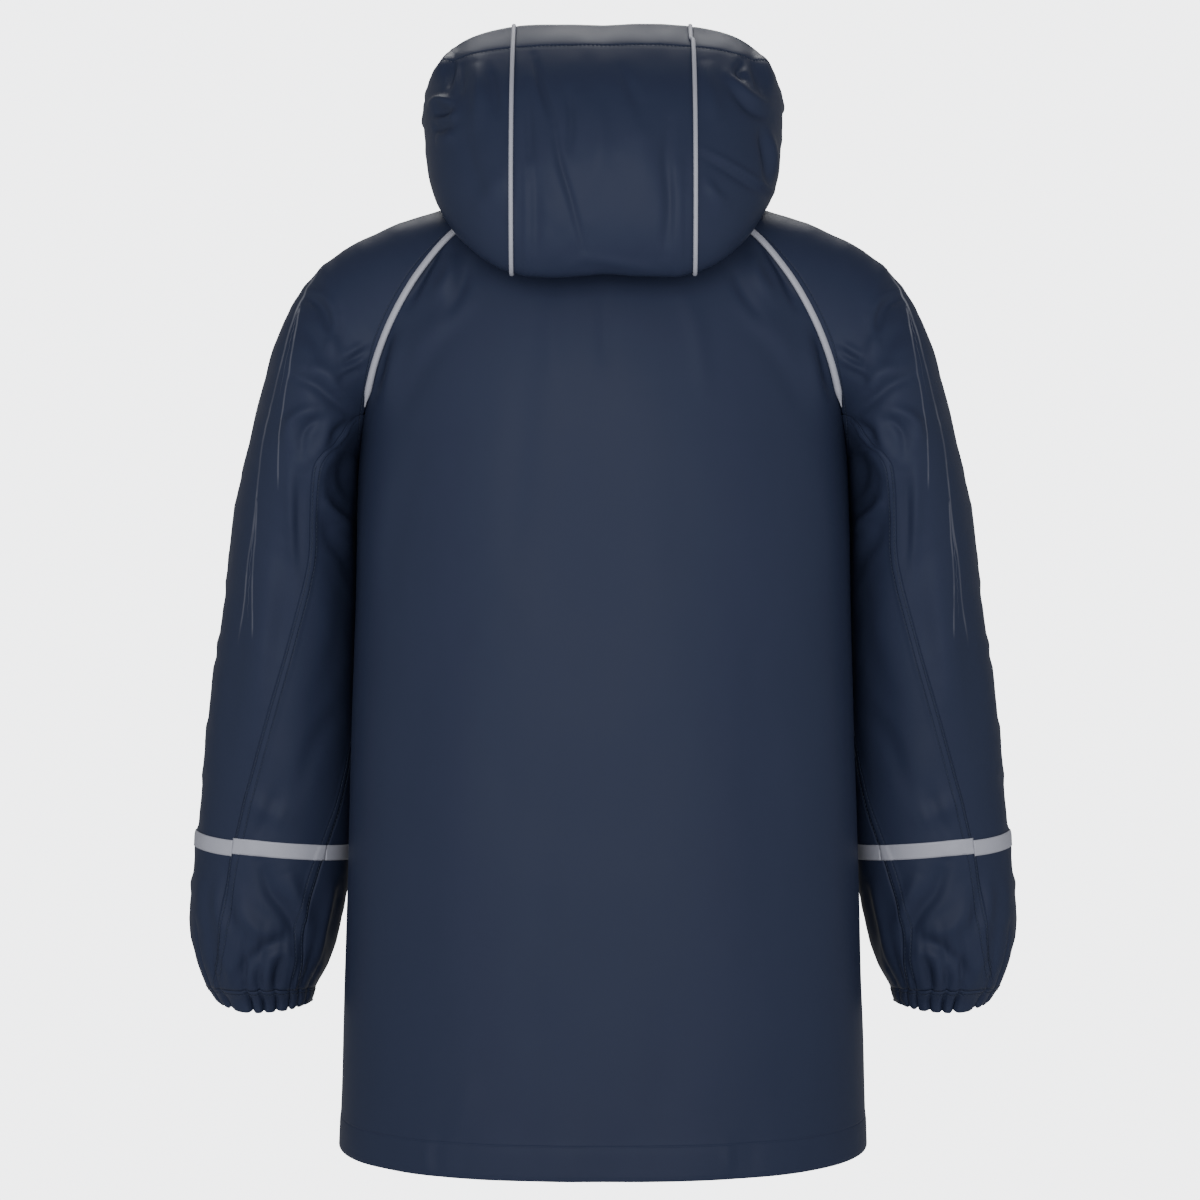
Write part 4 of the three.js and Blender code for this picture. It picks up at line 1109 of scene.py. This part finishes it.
teeth = []
zipLength = np.linspace(0.2, 1.985, 400)
zipMiddle = insideFront(np.full(400, 0.01), zipLength)
zipNormals = normalOf(frontSurface, zipEdge(zipLength, np.full(400, 0.01)), zipLength, ((-1, 0), (1, 2)))
zipApart = np.concatenate([[0], np.cumsum(np.linalg.norm(np.diff(zipMiddle, axis=0), axis=-1))])
for k, at in enumerate(np.arange(1.5, zipApart[-1] - 1, zipForm["pitch"] / 2)):
    middle, ahead, out = (np.array([np.interp(place, zipApart, data[:, i]) for i in range(3)])
                          for place, data in [(at, zipMiddle), (at + 1, zipMiddle), (at, zipNormals)])
    down = unit(ahead - middle)
    across = np.array([1.0, 0, 0])
    offset = 0.9 if k % 2 else -0.9
    teeth.append((middle + across * offset + out * 0.3, across * 1.55, down * 0.52, out * 0.75))
beads("zip_teeth", teeth, [(-1, 0.8), (-0.8, 1.1), (0.5, 1.1), (1, 0.75)], 8, metal, "zip_metal", 0.6)

for node in ("zip_slider", "zip_pull"):
    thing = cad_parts[node]
    thing.data.materials.clear()
    thing.data.materials.append(metal)
    edge = thing.modifiers.new("edges", "BEVEL")
    edge.width = 0.00025
    edge.segments = 2
    edge.limit_method = "ANGLE"
print("trim and zip made")


# Sewing

hemLine = np.linspace(-0.995, 0.995, 700)
hemAt = 2 - sewing["hem"] / sewing["trunk"]
for mirror, sides in [(False, "left"), (True, "right")]:
    t = np.linspace(1.03, 1.985, 500)
    for seamAngle, direction, rows in [(backSeamAngle, 1, (1.5, 6.0)), (innerSeamAngle, -1, (1.5, 6.0))]:
        for away in rows:
            angle = seamAngle(t) + direction * away / sleeve("half", t)
            sewnOn(sleevePoint, sleeveRelief, angle, t, mirror=mirror)
    t = np.linspace(0.2, 0.93, 260)
    for sign in (1, -1):
        turn = sleeveSection(t)[2]
        angle = sign * (turn - sewing["raglan"] / sleeve("half", t))
        sewnOn(sleevePoint, sleeveRelief, angle, t, mirror=mirror)
    t = np.linspace(0.02, 1.99, 700)
    sewnOn(frontSurface, trunkRelief("front"), zipEdge(t, zipHalfOpening + 8.0), t, mirror=mirror)
    frontHem = np.linspace(0.08, 0.995, 400)
    sewnOn(frontSurface, trunkRelief("front"), frontHem, np.full(400, hemAt), mirror=mirror)
    angle = np.linspace(-np.pi, np.pi, 500)
    sewnOn(cuffPoint, cuffRelief, angle, np.full(500, sewing["cuff"]), mirror=mirror)
sewnOn(backSurface, trunkRelief("back"), hemLine, np.full(700, hemAt))
reach = np.linspace(-0.9, 0.9, 600)
sewnOn(hoodPoint, hoodRelief, reach, np.full(600, 1 - sewing["casing"] / sewing["hoodLength"]))
beads("stitches", threads["coat"], [(-1, 0.4), (0, 1), (1, 0.4)], 6, thread, "coated_cloth")
print("sewing made")


# Stage, lights and camera

stage = {"floor": -0.78, "radius": 1.0, "seen": 4.5, "ambient": 1.35}


def makeStage():
    # A round pale floor under the coat, and a pale surrounding that is brighter behind the coat than on it
    angle = np.linspace(0, 2 * np.pi, 96, endpoint=False)
    rim = np.stack([np.cos(angle), np.sin(angle)], axis=-1) * stage["radius"] * 1000
    points = np.concatenate([rim, np.full((96, 1), stage["floor"] * 1000)], axis=-1)
    material = bpy.data.materials.new("floor")
    material.use_nodes = True
    surface = material.node_tree.nodes["Principled BSDF"]
    surface.inputs["Base Color"].default_value = (0.86, 0.86, 0.865, 1)
    surface.inputs["Roughness"].default_value = 0.9
    makeMesh("floor", points, [list(range(96))], material)
    world = bpy.data.worlds.new("studio")
    world.use_nodes = True
    world.node_tree.nodes.clear()
    start = Wire(world.node_tree)
    straight = start.make("ShaderNodeLightPath", out="Is Camera Ray")
    way = start.make("ShaderNodeTexCoord", out="Generated")
    behind = start.make("ShaderNodeSeparateXYZ", values={0: way}, out="Y").fade(-0.6, 0.5)
    above = 1 - start.make("ShaderNodeSeparateXYZ", values={0: way}, out="Z").fade(0.1, 0.9)
    ambient = (1 - 0.7 * behind) * (1 - 0.8 * above) * stage["ambient"]
    strength = straight * stage["seen"] + (1 - straight) * ambient
    sky = start.make("ShaderNodeBackground", values={"Color": (0.97, 0.98, 1, 1), "Strength": strength})
    start.make("ShaderNodeOutputWorld", values={"Surface": sky})
    bpy.context.scene.world = world


def addLight(name, place, target, size, power):
    data = bpy.data.lights.new(name, "AREA")
    data.shape = "RECTANGLE"
    data.size, data.size_y = size
    data.energy = power
    thing = bpy.data.objects.new(name, data)
    bpy.context.scene.collection.objects.link(thing)
    thing.location = place
    way = np.array(target) - np.array(place)
    turned = math.atan2(way[1], way[0]) - math.pi / 2
    thing.rotation_euler = (math.acos(-way[2] / np.linalg.norm(way)), 0, turned)
    thing.visible_camera = False


makeStage()
addLight("key", (0.4, 2.5, 0.6), (0, 0, -0.2), (1.6, 1.0), 20)
addLight("fill", (0, 2.6, -0.2), (0, 0, -0.25), (2.2, 1.3), 34)
addLight("front", (0, -1.5, 1.6), (0, 0, -0.25), (1.6, 1.0), 34)

lens = bpy.data.cameras.new("camera")
lens.lens = eye["lens"]
lens.sensor_width = 36
camera = bpy.data.objects.new("camera", lens)
bpy.context.scene.collection.objects.link(camera)
camera.location = (eye["x"] / 1000, eye["y"] / 1000, eye["z"] / 1000)
camera.rotation_euler = (math.pi / 2, 0, math.pi)
bpy.context.scene.camera = camera
print("stage made")

bpy.context.view_layer.update()
